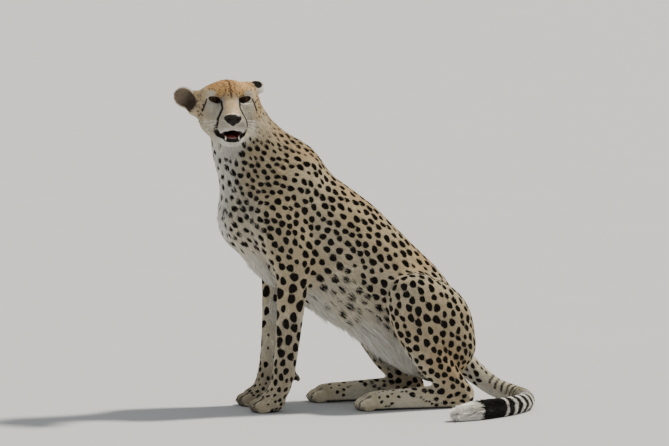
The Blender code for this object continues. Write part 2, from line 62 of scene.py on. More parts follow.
# finer steps through the head and the toes, for x, y and z: from, to, step
FINE_SPANS = (((-0.10, 0.17, 0.0017),),
              ((-0.35, -0.15, 0.0017), (-0.15, -0.05, 0.0023), (0.08, 0.18, 0.0023)),
              ((-0.003, 0.052, 0.0023), (0.64, 0.83, 0.0017)))
GRID_LOW = (-0.19, -0.36, -0.02)
GRID_HIGH = (0.43, 0.60, 0.85)
FAR = 1.0                  # the field's value away from every form
MARGIN = 0.02              # how far past a form's box its distance is worked out
LIMB_STEPS = 8             # pieces of a tube from one station to the next
SKIN_TRIANGLES = 196000
TUFTS = 355000
PIECE_TUFTS = 48000        # the most tufts in one piece of the coat

# ---- trunk and neck: y, z, half width, half depth of each section, from front to back
TRUNK = ((-0.098, 0.492, 0.080, 0.100), (-0.028, 0.470, 0.096, 0.140), (0.071, 0.398, 0.104, 0.150),
         (0.135, 0.347, 0.100, 0.145), (0.203, 0.295, 0.092, 0.135), (0.269, 0.239, 0.088, 0.128),
         (0.320, 0.180, 0.088, 0.112), (0.352, 0.125, 0.070, 0.075))
BREAST = ((0, -0.118, 0.470), (0.074, 0.082, 0.085))
BRISKET = ((0, -0.035, 0.375), (0.066, 0.085, 0.065))
NECK = ((0, -0.050, 0.555, 0.078, 0.118), (0, -0.098, 0.596, 0.068, 0.108),
        (-0.001, -0.135, 0.655, 0.059, 0.088), (-0.006, -0.152, 0.708, 0.053, 0.070),
        (-0.012, -0.178, 0.760, 0.046, 0.046))

# the feet and the tail are set 2 to 3 mm into the floor, where they are cut level

# ---- fore leg: x, y, z, half width, half depth, from the top down (left side; the right mirrors it)
SHOULDER_BLADE = ((0.045, 0.000, 0.585, 0.030, 0.035), (0.062, -0.030, 0.540, 0.040, 0.065),
                  (0.078, -0.080, 0.470, 0.042, 0.060))
UPPER_ARM = ((0.078, -0.090, 0.475, 0.040, 0.056), (0.083, -0.060, 0.420, 0.042, 0.058),
             (0.079, -0.035, 0.370, 0.037, 0.046))
FOREARM = ((0.079, -0.035, 0.375, 0.035, 0.044), (0.078, -0.037, 0.330, 0.033, 0.040),
           (0.075, -0.042, 0.250, 0.029, 0.034), (0.072, -0.049, 0.170, 0.026, 0.030),
           (0.070, -0.056, 0.110, 0.0265, 0.028), (0.070, -0.066, 0.065, 0.027, 0.0265),
           (0.070, -0.078, 0.040, 0.028, 0.024))
ELBOW = ((0.077, -0.010, 0.385), (0.022, 0.020, 0.024))
WRIST_PAD = ((0.070, -0.050, 0.100, 0.009, 0.009), (0.069, -0.026, 0.083, 0.007, 0.007))
WRIST_TIP = ((0.069, -0.027, 0.084, 0.007, 0.007), (0.0685, -0.019, 0.077, 0.0036, 0.004))
FORE_PAW = ((0.070, -0.092, 0.0225), (0.031, 0.036, 0.025))

# ---- hind leg, folded: the right one is set further forward
THIGH = ((0.064, 0.365, 0.142, 0.050, 0.070), (0.088, 0.322, 0.215, 0.055, 0.090),
         (0.114, 0.265, 0.275, 0.044, 0.064))
SHANK = ((0.117, 0.257, 0.282, 0.038, 0.056), (0.117, 0.262, 0.210, 0.036, 0.052),
         (0.112, 0.310, 0.120, 0.030, 0.042), (0.106, 0.360, 0.065, 0.024, 0.032),
         (0.100, 0.392, 0.035, 0.021, 0.026))
HIND_FOOT = ((0.100, 0.396, 0.0225, 0.019, 0.025), (0.100, 0.330, 0.0265, 0.022, 0.029),
             (0.100, 0.250, 0.0245, 0.024, 0.027), (0.100, 0.190, 0.0225, 0.028, 0.025))
HIND_BALL = ((0.100, 0.165, 0.0215), (0.031, 0.035, 0.024))
RIGHT_KNEE_FORWARD = 0.045
RIGHT_FOOT_FORWARD = 0.070
# the coat's places further left, further back and lower than this are on the leg; below the hock, the foot
HIND_LEG_LEFT, HIND_LEG_BACK, HIND_LEG_UP, HOCK_UP = 0.07, 0.13, 0.33, 0.1

# ---- toes, of each paw: x from the paw's middle, and how far it stays behind the longest
TOES = ((-0.0245, 0.006), (-0.0088, 0.0), (0.0088, 0.0), (0.0245, 0.006))
TOE_SIZE = (0.0112, 0.021, 0.0165)
TOE_HEIGHT = 0.0145
FORE_TOE_Y = -0.122
HIND_TOE_Y = 0.136
TOE_GROOVE = 0.0034        # how deep the skin is cut between two toes
GROOVE_ANGLES = (8, 78)    # degrees over the paw, from its front towards its top
GROOVE_HEIGHT = 0.012      # of the point inside the paw that these are measured round

# ---- tail, laid on the floor and round to the left: x, y, z, radius
TAIL = ((0.000, 0.390, 0.130, 0.034), (0.000, 0.448, 0.078, 0.028), (0.010, 0.500, 0.038, 0.0245),
        (0.045, 0.540, 0.0220, 0.0235), (0.110, 0.545, 0.0205, 0.0230), (0.200, 0.520, 0.0205, 0.0228),
        (0.280, 0.455, 0.0210, 0.0235), (0.340, 0.370, 0.0225, 0.0250), (0.370, 0.300, 0.0180, 0.0205))

# ---- head: its own axes are forward, left and up, from the point midway between the eyes
EYES = Vector((0.075, -0.194, 0.7675))
FACING = Vector((0.9936, -0.1132, 0.0)).normalized()
UP = Vector((0, 0, 1))
LEFT = UP.cross(FACING)
HEAD_AXES = (FACING, LEFT, UP)
EYE_RADIUS = 0.0165
EYE_PLACE = (-0.0125, 0.0385, -0.002)
SKULL = ((-0.055, 0, -0.005), (0.076, 0.066, 0.0445))
FOREHEAD = ((-0.022, 0, 0.010), (0.040, 0.049, 0.0285))
THROAT = ((-0.030, 0, -0.075), (0.055, 0.040, 0.034))
BROW = ((-0.015, 0.036, 0.017), (0.022, 0.024, 0.012))
CHEEK = ((-0.046, 0.044, -0.026), (0.046, 0.034, 0.046))
UNDER_EYE = ((-0.006, 0.034, -0.036), (0.034, 0.028, 0.031))
MUZZLE = ((0.022, 0, -0.054), (0.042, 0.034, 0.030))
NOSE_BRIDGE = ((-0.012, 0, -0.002, 0.023, 0.018), (0.020, 0, -0.022, 0.021, 0.019),
               (0.058, 0, -0.040, 0.021, 0.013))
WHISKER_PAD = ((0.041, 0.0195, -0.0615), (0.028, 0.0200, 0.0220))
JAWBONE = ((0.030, 0.016, -0.099, 0.011, 0.012), (-0.010, 0.034, -0.084, 0.015, 0.017),
           (-0.045, 0.047, -0.062, 0.018, 0.022))
CHIN = ((0.038, 0, -0.1005), (0.027, 0.022, 0.0150))
NOSE_TOP = ((0.0685, 0, -0.0445), (0.0095, 0.0215, 0.0090))
NOSE_FOOT = ((0.0680, 0, -0.0545), (0.0076, 0.0062, 0.0098))
NOSE_WEDGE = ((0.0680, 0, -0.0505), (0.0086, 0.0162, 0.0082))
EYE_HOLLOW = ((0.012, 0.039, -0.001), (0.020, 0.019, 0.0110))
MOUTH = ((0.040, 0, -0.0825), (0.042, 0.0205, 0.0095))
MOUTH_TILT = 10.0          # degrees, nose end down
INSIDE_MOUTH = 0.0008      # nearer than this to the mouth's hollow a point is inside, without marks
TONGUE = ((0.030, 0, -0.0910), (0.026, 0.0130, 0.0050))
# ears: root, tip and the way the cup opens, in the head's axes, half the width, the radii of the root
EAR_RIGHT = ((-0.056, -0.080, -0.013), (-0.060, -0.1235, 0.015), (0.95, -0.10, -0.20), 0.0265,
             (0.020, 0.022, 0.031))
EAR_LEFT = ((-0.064, 0.052, 0.022), (-0.094, 0.094, 0.027), (-0.80, 0.25, -0.45), 0.0195,
            (0.022, 0.020, 0.017))
EAR_POUCH = ((-0.036, -0.0890, -0.0165), (0.0105, 0.0128, 0.0250))  # the hollow below the right ear's cup
EAR_POUCH_SHADE = ((-0.037, -0.0965, -0.0110), (0.0210, 0.0200, 0.0270))   # the hair in and around that hollow, given painted shade
EAR_POUCH_SLANT = 12.0     # degrees, its top end outwards
EAR_SHELL = 0.014          # half the thickness that the cup is cut from
EAR_CUP = (0.013, 0.0165)  # how far the cup's ball lies towards its opening, and how deep it is
# the lids: a shell over the eye, and the almond opening cut in it
LID = 0.0020
EYE_OPENING = (0.0165, 0.0130, 0.0056)
EYE_OPENING_FORWARD = 0.018
EYE_SLANT = 17.0           # degrees, inner corner down
NOSTRIL = ((0.0770, 0.0098, -0.0475), (0.0060, 0.0048, 0.0034))
NOSTRIL_SLIT = ((0.0720, 0.0172, -0.0490), (0.0050, 0.0062, 0.0016))
NOSE_GROOVE = ((0.0790, 0, -0.0560), (0.0040, 0.0009, 0.0120))
LIP_GROOVE = ((0.0720, 0, -0.0730), (0.0070, 0.0011, 0.0110))

# ---- teeth, claws and whiskers
LOWER_CANINE = (0.0520, 0.0150, -0.0985)
CANINE_LENGTH = 0.0110
CANINE_RADIUS = 0.0032
INCISORS = 6
INCISOR_PITCH = 0.0030
INCISOR_LENGTH = 0.0050
CLAW_LENGTH = 0.012
CLAW_RADIUS = 0.0026
CLAW_ROOT = (0.0065, 0.003)  # back from the toe's front, and up from its middle
CLAW_HOOK = -0.70          # how far the tip bends down, against its length
WHISKERS = 11              # on each side, in columns of WHISKER_ROWS
WHISKER_ROWS = 4
WHISKER_FIRST = (0.012, 0.014, 0.009)  # the first root, forward, sideways and up from the pad's middle
WHISKER_BACK = (-0.008, 0.002)         # each next column: forward and sideways
WHISKER_DOWN = 0.0055                  # each next row
WHISKER_DROOP = -0.28                  # how far the tips bend down, against the length
WHISKER_LENGTH = 0.055
WHISKER_SPREAD = (0.6, 1.0)            # the shortest and longest, against that length
WHISKER_RADIUS = 0.00028

# ---- colours of the hair, as linear red, green and blue
TAN = (0.585, 0.463, 0.300)
GOLD = (0.520, 0.325, 0.130)
BUFF = (0.600, 0.512, 0.360)
SAND = (0.625, 0.553, 0.412)
PALE = (0.685, 0.633, 0.515)
# a dun darkened to stand in for shade: painted shade under the eyes, on the snout's sides and on the
# whisker pads
SHADED_DUN = (0.470, 0.435, 0.350)
FAWN = (0.510, 0.385, 0.230)
# a buff darkened to stand in for shade: painted shade on the lower fore legs, the fore paws and the
# cheekbones
SHADED_BUFF = (0.500, 0.432, 0.315)
WHITE = (0.720, 0.695, 0.635)
# a grey that stands in for shade: painted shade under the brow by the eye's inner corner
EYE_SHADE_GREY = (0.330, 0.305, 0.260)
INNER_EAR = (0.340, 0.270, 0.195)
# painted shade that the ear's inside goes to towards its root and in the hollow below it
EAR_HOLLOW_SHADE = (0.070, 0.050, 0.036)
# painted shade in the parting down the forehead and in the furrows by the brows
CREASE_SHADE_BROWN = (0.050, 0.024, 0.010)
PAD_GREY = (0.050, 0.048, 0.044)
MOUTH_RED = (0.110, 0.018, 0.018)
SOLE_GREY = (0.030, 0.027, 0.025)

# ---- the coat, place by place: where (left side), its colour, how far apart the spots are and half
# their length and width, the length of the hair, how deep it stands, all in metres; the three
# numbers of the spots are left out where there are none
COAT = (
    ("nape", (0.00, -0.075, 0.700), TAN, 0.0185, 0.0080, 0.0066, 0.013, 0.0045),
    ("neck side", (0.06, -0.120, 0.640), BUFF, 0.0184, 0.0083, 0.0068, 0.010, 0.0035),
    ("neck side low", (0.07, -0.110, 0.580), BUFF, 0.0196, 0.0090, 0.0072, 0.010, 0.0035),
    ("throat", (0.00, -0.215, 0.640), WHITE, 0.0235, 0.0076, 0.0058, 0.012, 0.0040),
    ("throat low", (0.00, -0.205, 0.570), WHITE, 0.0235, 0.0082, 0.0062, 0.0128, 0.0045),
    ("withers", (0.00, -0.010, 0.605), TAN, 0.0237, 0.0094, 0.0080, 0.012, 0.0040),
    ("shoulder", (0.10, -0.060, 0.490), BUFF, 0.0235, 0.0112, 0.0092, 0.009, 0.0030),
    ("shoulder top", (0.08, 0.000, 0.550), SAND, 0.0240, 0.0108, 0.0092, 0.009, 0.0032),
    ("breast", (0.00, -0.205, 0.470), WHITE, 0.0290, 0.0085, 0.0060, 0.020, 0.0060),
    ("breast side", (0.06, -0.170, 0.470), PALE, 0.0228, 0.0102, 0.0074, 0.0128, 0.0042),
    ("back", (0.00, 0.120, 0.510), TAN, 0.0252, 0.0093, 0.0080, 0.010, 0.0032),
    ("back rear", (0.00, 0.280, 0.370), TAN, 0.0251, 0.0095, 0.0080, 0.010, 0.0032),
    ("rib", (0.105, 0.050, 0.430), SAND, 0.0250, 0.0099, 0.0086, 0.009, 0.0030),
    ("rib top", (0.07, 0.110, 0.470), BUFF, 0.0252, 0.0098, 0.0085, 0.009, 0.0032),
    ("flank", (0.10, 0.170, 0.320), SAND, 0.0236, 0.0108, 0.0092, 0.010, 0.0032),
    ("flank top", (0.06, 0.220, 0.390), BUFF, 0.0244, 0.0102, 0.0086, 0.010, 0.0032),
    ("flank low", (0.08, 0.100, 0.260), PALE, 0.0280, 0.0108, 0.0086, 0.022, 0.0060),
    ("belly", (0.00, 0.040, 0.270), WHITE, 0.036, 0.0090),
    ("belly rear", (0.03, 0.150, 0.170), WHITE, 0.042, 0.0110),
    ("brisket", (0.00, -0.090, 0.330), WHITE, 0.030, 0.0080),
    ("rump", (0.00, 0.390, 0.240), TAN, 0.0235, 0.0104, 0.0078, 0.010, 0.0035),
    ("rump side", (0.07, 0.350, 0.290), SAND, 0.0236, 0.0108, 0.0084, 0.009, 0.0032),
    ("elbow", (0.12, -0.020, 0.380), BUFF, 0.0244, 0.0112, 0.0088, 0.008, 0.0028),
    ("foreleg", (0.11, -0.040, 0.290), BUFF, 0.0345, 0.0152, 0.0126, 0.007, 0.0025),
    ("foreleg front", (0.08, -0.085, 0.280), BUFF, 0.0345, 0.0152, 0.0126, 0.007, 0.0025),
    # painted shade: the lower fore legs are given a buff darkened to stand in for shade
    ("foreleg low", (0.10, -0.050, 0.170), SHADED_BUFF, 0.0310, 0.0142, 0.0112, 0.0065, 0.0022),
    ("foreleg inside", (0.04, -0.035, 0.260), WHITE, 0.0420, 0.0080, 0.0060, 0.010, 0.0035),
    ("foreleg inside low", (0.045, -0.045, 0.150), PALE, 0.0340, 0.0070, 0.0055, 0.008, 0.0030),
    # painted shade on the wrists, fore paws and fore toes, as on the lower fore legs
    ("wrist", (0.095, -0.065, 0.085), SHADED_BUFF, 0.0204, 0.0086, 0.0066, 0.007, 0.0025),
    ("front paw", (0.070, -0.095, 0.050), SHADED_BUFF, 0.0150, 0.0046, 0.0036, 0.005, 0.0018),
    ("front toes", (0.070, -0.130, 0.025), SHADED_BUFF, 0.005, 0.0018),
    ("knee", (0.150, 0.215, 0.310), SAND, 0.0254, 0.0104, 0.0085, 0.008, 0.0028),
    ("thigh", (0.150, 0.290, 0.230), BUFF, 0.0281, 0.0123, 0.0093, 0.008, 0.0028),
    ("thigh rear", (0.130, 0.390, 0.200), BUFF, 0.0245, 0.0117, 0.0078, 0.009, 0.0030),
    ("thigh low", (0.140, 0.350, 0.120), TAN, 0.0237, 0.0104, 0.0078, 0.008, 0.0028),
    ("buttock", (0.060, 0.440, 0.170), SAND, 0.0216, 0.0114, 0.0070, 0.012, 0.0040),
    ("shin", (0.145, 0.215, 0.190), BUFF, 0.0236, 0.0114, 0.0082, 0.0075, 0.0026),
    ("inner thigh", (0.050, 0.230, 0.130), WHITE, 0.028, 0.0080),
    ("heel", (0.120, 0.390, 0.045), BUFF, 0.0215, 0.0088, 0.0064, 0.007, 0.0025),
    ("hind foot", (0.110, 0.275, 0.058), SAND, 0.0215, 0.0070, 0.0086, 0.006, 0.0020),
    ("hind foot side", (0.130, 0.250, 0.018), PALE, 0.006, 0.0020),
    ("hind instep", (0.105, 0.195, 0.052), SAND, 0.0165, 0.0042, 0.0036, 0.006, 0.0020),
    ("hind foot inside", (0.075, 0.250, 0.030), PALE, 0.006, 0.0020),
    ("hind toes", (0.100, 0.145, 0.035), SAND, 0.005, 0.0018),
    ("tail root", (0.000, 0.455, 0.090), PALE, 0.0200, 0.0080, 0.0056, 0.010, 0.0032),
    ("tail bend", (0.045, 0.545, 0.040), PALE, 0.008, 0.0028),
    ("tail", (0.200, 0.525, 0.040), WHITE, 0.0085, 0.0030),
    ("tail rings", (0.290, 0.445, 0.040), WHITE, 0.0110, 0.0040),
    ("tail tip", (0.368, 0.320, 0.040), WHITE, 0.026, 0.0090),
)
# the same on the head, in the head's own axes: forward, sideways, up
FACE_COAT = (
    ("crown", (-0.070, 0.000, 0.045), GOLD, 0.0098, 0.0034, 0.0024, 0.009, 0.0028),
    ("forehead", (-0.020, 0.000, 0.040), GOLD, 0.0082, 0.0026, 0.0018, 0.007, 0.0020),
    ("forehead side", (-0.025, 0.038, 0.034), GOLD, 0.0100, 0.0026, 0.0020, 0.006, 0.0018),
    ("brow middle", (0.010, 0.000, 0.016), GOLD, 0.0090, 0.0020, 0.0016, 0.005, 0.0014),
    ("between eyes", (0.018, 0.000, 0.000), FAWN, 0.004, 0.0012),
    ("brow top", (0.000, 0.040, 0.0225), GOLD, 0.0090, 0.0022, 0.0018, 0.005, 0.0014),
    ("brow inner", (0.006, 0.026, 0.016), GOLD, 0.0090, 0.0020, 0.0016, 0.005, 0.0014),
    ("brow", (0.002, 0.041, 0.0125), PALE, 0.005, 0.0014),
    ("brow outer", (-0.012, 0.055, 0.012), TAN, 0.005, 0.0014),
    # painted shade under the brow, between the eye and the nose's bridge
    ("inner eye", (0.012, 0.024, -0.012), EYE_SHADE_GREY, 0.003, 0.0010),
    ("temple", (-0.032, 0.062, 0.006), FAWN, 0.0110, 0.0026, 0.0020, 0.008, 0.0022),
    # painted shade: under the eyes, on the cheekbones, the snout's sides and the whisker pads the hair is
    # given colours darkened to stand in for shade
    ("under eye", (0.012, 0.040, -0.020), SHADED_DUN, 0.004, 0.0012),
    ("cheekbone", (0.000, 0.052, -0.034), SHADED_BUFF, 0.005, 0.0014),
    ("bridge", (0.042, 0.000, -0.018), FAWN, 0.004, 0.0012),
    ("snout", (0.066, 0.000, -0.034), TAN, 0.003, 0.0010),
    ("snout side", (0.036, 0.026, -0.038), SHADED_DUN, 0.004, 0.0012),
    ("whisker pad", (0.060, 0.024, -0.060), SHADED_DUN, 0.005, 0.0014),
    ("pad edge", (0.060, 0.018, -0.078), WHITE, 0.004, 0.0012),
    ("cheek", (-0.020, 0.068, -0.030), TAN, 0.0105, 0.0034, 0.0026, 0.008, 0.0024),
    ("cheek low", (-0.005, 0.054, -0.064), PALE, 0.012, 0.0035),
    ("jowl", (-0.050, 0.070, -0.055), SAND, 0.0130, 0.0040, 0.0030, 0.015, 0.0045),
    ("chin", (0.055, 0.000, -0.112), WHITE, 0.007, 0.0018),
    ("under jaw", (-0.010, 0.000, -0.108), WHITE, 0.012, 0.0040),
    ("behind ear", (-0.090, 0.060, 0.000), TAN, 0.0150, 0.0050, 0.0038, 0.011, 0.0035),
    ("back of head", (-0.125, 0.000, 0.000), TAN, 0.0160, 0.0054, 0.0040, 0.012, 0.0040),
)
COAT_BLEND = 0.022         # how softly one place of the coat runs into the next, in metres
FACE_BLEND = 0.006
EAR_HAIR = 0.005           # length on the ears
EAR_DEPTH = 0.0014
SKIN_FLOOR = 0.0005        # no part of the skin lies lower
COAT_FLOOR = 0.0004
FLATTENED = (0.004, 0.002)  # below this height the coat is at most this deep
TOE_SHADE, TOE_TIP_SHADE = 0.72, 0.55  # how much painted shade darkens the grooves between toes and the toes' low fronts
PAD_SHARE, UNDER_TAIL_SHARE = 0.9, 0.6  # how far the wrist pad goes to grey, the tail's underside to white

# ---- spots
SPOT_TRIALS = 60000        # random places on the skin that spots are picked from
FIRST_SPACING = 0.76       # how close two spots start, as a share of their spacing, before evening out
EVEN_ROUNDS = 5
SPOT_SHARE = 0.45          # the most of the way to its nearest other one that a spot reaches
SPOT_JITTER = 0.13         # how much the spots' sizes vary
SPOT_GROW = 1.09           # every spot against the sizes in the tables
SMALL_SPOTS = (0.13, 0.64)  # how many of the spots are small, and their size against the others
SPOT_TURN = 0.25           # how far spots turn from the lie of the hair, in radians
SPOT_WAVES = ((2, 0.09), (3, 0.08))  # bumps round each spot's edge, and their height
TAIL_SPOTS_TO = 0.112      # how far down the tail spots go, before its rings
TAIL_SPOT_SPACING = 0.020

# ---- tufts
TUFT_WIDTH = (0.0007, 0.055, 0.017)  # its least, its growth with the hair's length, the length it stops at
TUFT_LENGTHS = (0.75, 1.2)  # the shortest and longest, against the hair of the place
TUFT_TURN = 0.13           # how far single tufts turn aside, in radians
TUFT_MIDDLE = 0.35         # where the tuft's raised point lies between root and tip
TUFT_LIFT = (0.75, 1.05)   # the tip's height between the skin and the coat's surface, lowest and highest
TUFT_ROOT = (1.08, 0.0002)  # how deep its root goes, as a share of the coat's depth and as an addition
MIDDLE_DEPTH = 0.42        # how deep its raised point lies, as a share of the coat's depth
MIDDLE_STAND = 0.3         # how much of the tip's standing off that point takes up
STAND_SPREAD = (0.3, 1.4)  # how far single tufts stand off, against the rest
STAND_FROM = 0.013         # hair longer than this stands off the body
STAND = 0.32               # the share of the longer hair's length by which its tip stands off
TAIL_STAND = 0.16
LOCKS_FULL = 0.028         # hair this long lies in full locks
LOCK_TURN = 0.30           # how far such locks turn aside, in radians
LOCK_LENGTH = 0.16         # and how much longer or shorter they are
TAIL_LOCKS = 0.35          # the locks on the tail against those elsewhere
ONE_COLOUR_FROM = 0.013    # hair longer than this is one colour from root to tip
BAKE_PATCH = 0.003         # a tuft's size in the OFBake map
CHART_GAP = 0.01           # metres between the parts of the unwrapped skin

# ---- marks: a value for each point, under 1 where it is black
MARK_EDGE = 0.006          # how far from a dark line its mark grows by 1
NO_MARK = 2.0              # a mark's value where nothing may be dark

# ---- dark lines on each side of the face: sideways and up, then half the width
TEAR_LINE = ((0.0225, -0.006), (0.0215, -0.022), (0.0272, -0.034), (0.0343, -0.048), (0.0370, -0.062),
             (0.0380, -0.073))
TEAR_WIDTH = 0.0037
TEAR_TURNED = 0.55         # the line keeps its width on the face down to this share of facing forward
LIP_LINE = ((0.0225, -0.0905), (0.0310, -0.0860), (0.0368, -0.0775))
LIP_WIDTH = 0.0050
CHEEK_LINE = ((0.0560, -0.001), (0.0610, -0.014), (0.0665, -0.030))
CHEEK_LINE_WIDTH = 0.0020
# the parting and the furrows below are not black marks: they carry painted shade where grooves would be
# shaded
PARTING = ((0.0000, 0.048), (0.0000, 0.022), (0.0020, 0.002))
PARTING_WIDTH = 0.0016
FURROW = ((0.0120, 0.036), (0.0105, 0.022), (0.0150, 0.008))
FURROW_WIDTH = 0.0016
# how far back from the eyes each kind of mark is kept on, the nose's measured forwards
LIP_BACK, LINES_BACK, CREASES_BACK, NOSE_BACK = -0.012, -0.050, -0.075, 0.0605
NOSE_BLACK = 0.0014        # how far the black goes past the nose's forms
RIM_BLACK = (0.0017, 0.0021)  # and past the eye's opening: all round, and more at the inner corner
LIP_BLACK = (0.0020, 0.0070, 0.0030)  # and past the mouth: all round, more below, more to the sides
# how strong the painted shade is in the parting and in the furrows
PARTING_SHADE, FURROW_SHADE = 0.85, 0.45

# ---- tail marks: how far along from its root, half the band, and how far round it reaches (1 is all)
TAIL_BANDS = ((0.128, 0.0040, 0.50), (0.149, 0.0040, 0.52), (0.170, 0.0041, 0.54), (0.192, 0.0043, 0.57),
              (0.215, 0.0045, 0.60), (0.239, 0.0048, 0.64), (0.264, 0.0052, 0.68), (0.290, 0.0056, 0.73),
              (0.317, 0.0062, 0.79), (0.346, 0.0070, 0.86), (0.377, 0.0080, 0.95), (0.410, 0.0092, 1.0),
              (0.446, 0.0106, 1.0), (0.484, 0.0118, 1.0))
TAIL_BLACK = (0.548, 0.042)

# ---- eyes: where they look in the scene's axes, how far they turn towards each other, the dome in front
EYE_GAZE = (0.0, -0.14, -0.03)
EYE_CROSS = 0.05
EYE_DOME = (0.05, 0.62)    # its height against the eye's radius, and how far it reaches, in radians
EYE_FIT = 0.995            # the ball against its socket
EYE_RINGS, EYE_SECTORS = 40, 48
RING_CROWDING = 1.5        # its rings lie closer towards the pupil
TONGUE_RINGS, TONGUE_SECTORS = 36, 40

# ---- floor, light and camera
CAMERA_TURN = 75.0         # degrees round from the animal's front towards its left
CAMERA_RISE = 4.0          # degrees above level
CAMERA_AWAY = 9.0          # metres
CAMERA_REACH = 1000.0      # past the floor's far edge
CAMERA_AIM = (0.0, 0.0893, 0.455)
CAMERA_LENS = 196.1        # millimetres
FRAME_WIDTH = 36.0         # millimetres
FLOOR_RADIUS = 300.0
FLOOR_SIDES = 96
KEY_FROM = (-0.10, 0.57, 0.82)
KEY_STRENGTH = 8.0
KEY_SOFTNESS = 6.0         # degrees across
SKY_STRENGTH = 0.80


# ---- forms, as distances to their surface
def unit(vector):
    vector = np.asarray(vector, float)
    return vector / np.linalg.norm(vector)


def blend_min(first, second, width):
    """The nearer of two distances, rounded over where they are within width of each other."""
    near = np.clip(width - np.abs(first - second), 0.0, None)
    return np.minimum(first, second) - near * near / (4.0 * width)


class Form:
    """A shape's box and its distance function of x, y, z grids."""

    def __init__(self, low, high, distance):
        self.low, self.high, self.distance = low, high, distance


def ball(center, radii, axes=((1, 0, 0), (0, 1, 0), (0, 0, 1))):
    """An ellipsoid with its radii along the given axes."""
    center, radii = np.asarray(center, float), np.asarray(radii, float)
    axes = np.array([unit(axis) for axis in axes])
    reach = np.sqrt(((axes * radii[:, None]) ** 2).sum(0))

    def distance(x, y, z):
        x, y, z = x - center[0], y - center[1], z - center[2]
        scaled = steep = 0.0
        for (i, j, k), radius in zip(axes, radii):
            along = (i * x + j * y + k * z) / radius
            scaled = scaled + along * along
            steep = steep + (along / radius) ** 2
        scaled = np.sqrt(scaled)
        return scaled * (scaled - 1.0) / np.maximum(np.sqrt(steep), 1e-6)

    return Form(center - reach, center + reach, distance)


def smooth_rows(rows, steps):
    """Rows along a smooth curve through the given ones (Catmull-Rom)."""
    rows = np.asarray(rows, float)
    ends = np.vstack([2 * rows[0] - rows[1], rows, 2 * rows[-1] - rows[-2]])
    out = []
    for i in range(len(rows) - 1):
        a, b, c, d = ends[i:i + 4]
        for t in np.arange(steps) / steps:
            out.append(0.5 * (2 * b + (c - a) * t + (2 * a - 5 * b + 4 * c - d) * t * t
                              + (3 * b - a - 3 * c + d) * t ** 3))
    out.append(rows[-1])
    return np.array(out)


def limb(stations, across=(1, 0, 0)):
    """A tube through x, y, z, half width, half depth stations, its widths measured along across."""
    rows = smooth_rows(stations, LIMB_STEPS)
    across = unit(across)
    reach = rows[:, 3:].max()

    def piece(start, end, x, y, z):
        way = end[:3] - start[:3]
        length = np.linalg.norm(way)
        way = way / length
        wide = unit(across - way * across.dot(way))
        deep = np.cross(way, wide)
        x, y, z = x - start[0], y - start[1], z - start[2]
        along = x * way[0] + y * way[1] + z * way[2]
        inside = np.clip(along, 0.0, length)
        past = along - inside
        u = x * wide[0] + y * wide[1] + z * wide[2]
        v = x * deep[0] + y * deep[1] + z * deep[2]
        share = inside / length
        width = start[3] + (end[3] - start[3]) * share
        depth = start[4] + (end[4] - start[4]) * share
        away = np.sqrt(u * u + v * v + past * past)
        ratio = np.sqrt((u / width) ** 2 + (v / depth) ** 2 + past * past / (width * depth))
        return np.where(ratio > 0.05, away - away / np.maximum(ratio, 1e-4), -np.minimum(width, depth))

    def distance(x, y, z):
        best = np.full(np.broadcast_shapes(x.shape, y.shape, z.shape), FAR, np.float32)
        for start, end in zip(rows[:-1], rows[1:]):
            near = max(start[3:].max(), end[3:].max()) + 3 * MARGIN
            low, high = np.minimum(start, end)[:3] - near, np.maximum(start, end)[:3] + near
            cut = tuple(slice(*np.searchsorted(axis.ravel(), (a, b)))
                        for axis, a, b in zip((x, y, z), low, high))
            if min(part.stop - part.start for part in cut) > 0:
                found = piece(start, end, x[cut[0]], y[:, cut[1]], z[:, :, cut[2]])
                best[cut] = np.minimum(best[cut], found)
        return best

    return Form(rows[:, :3].min(0) - reach, rows[:, :3].max(0) + reach, distance)


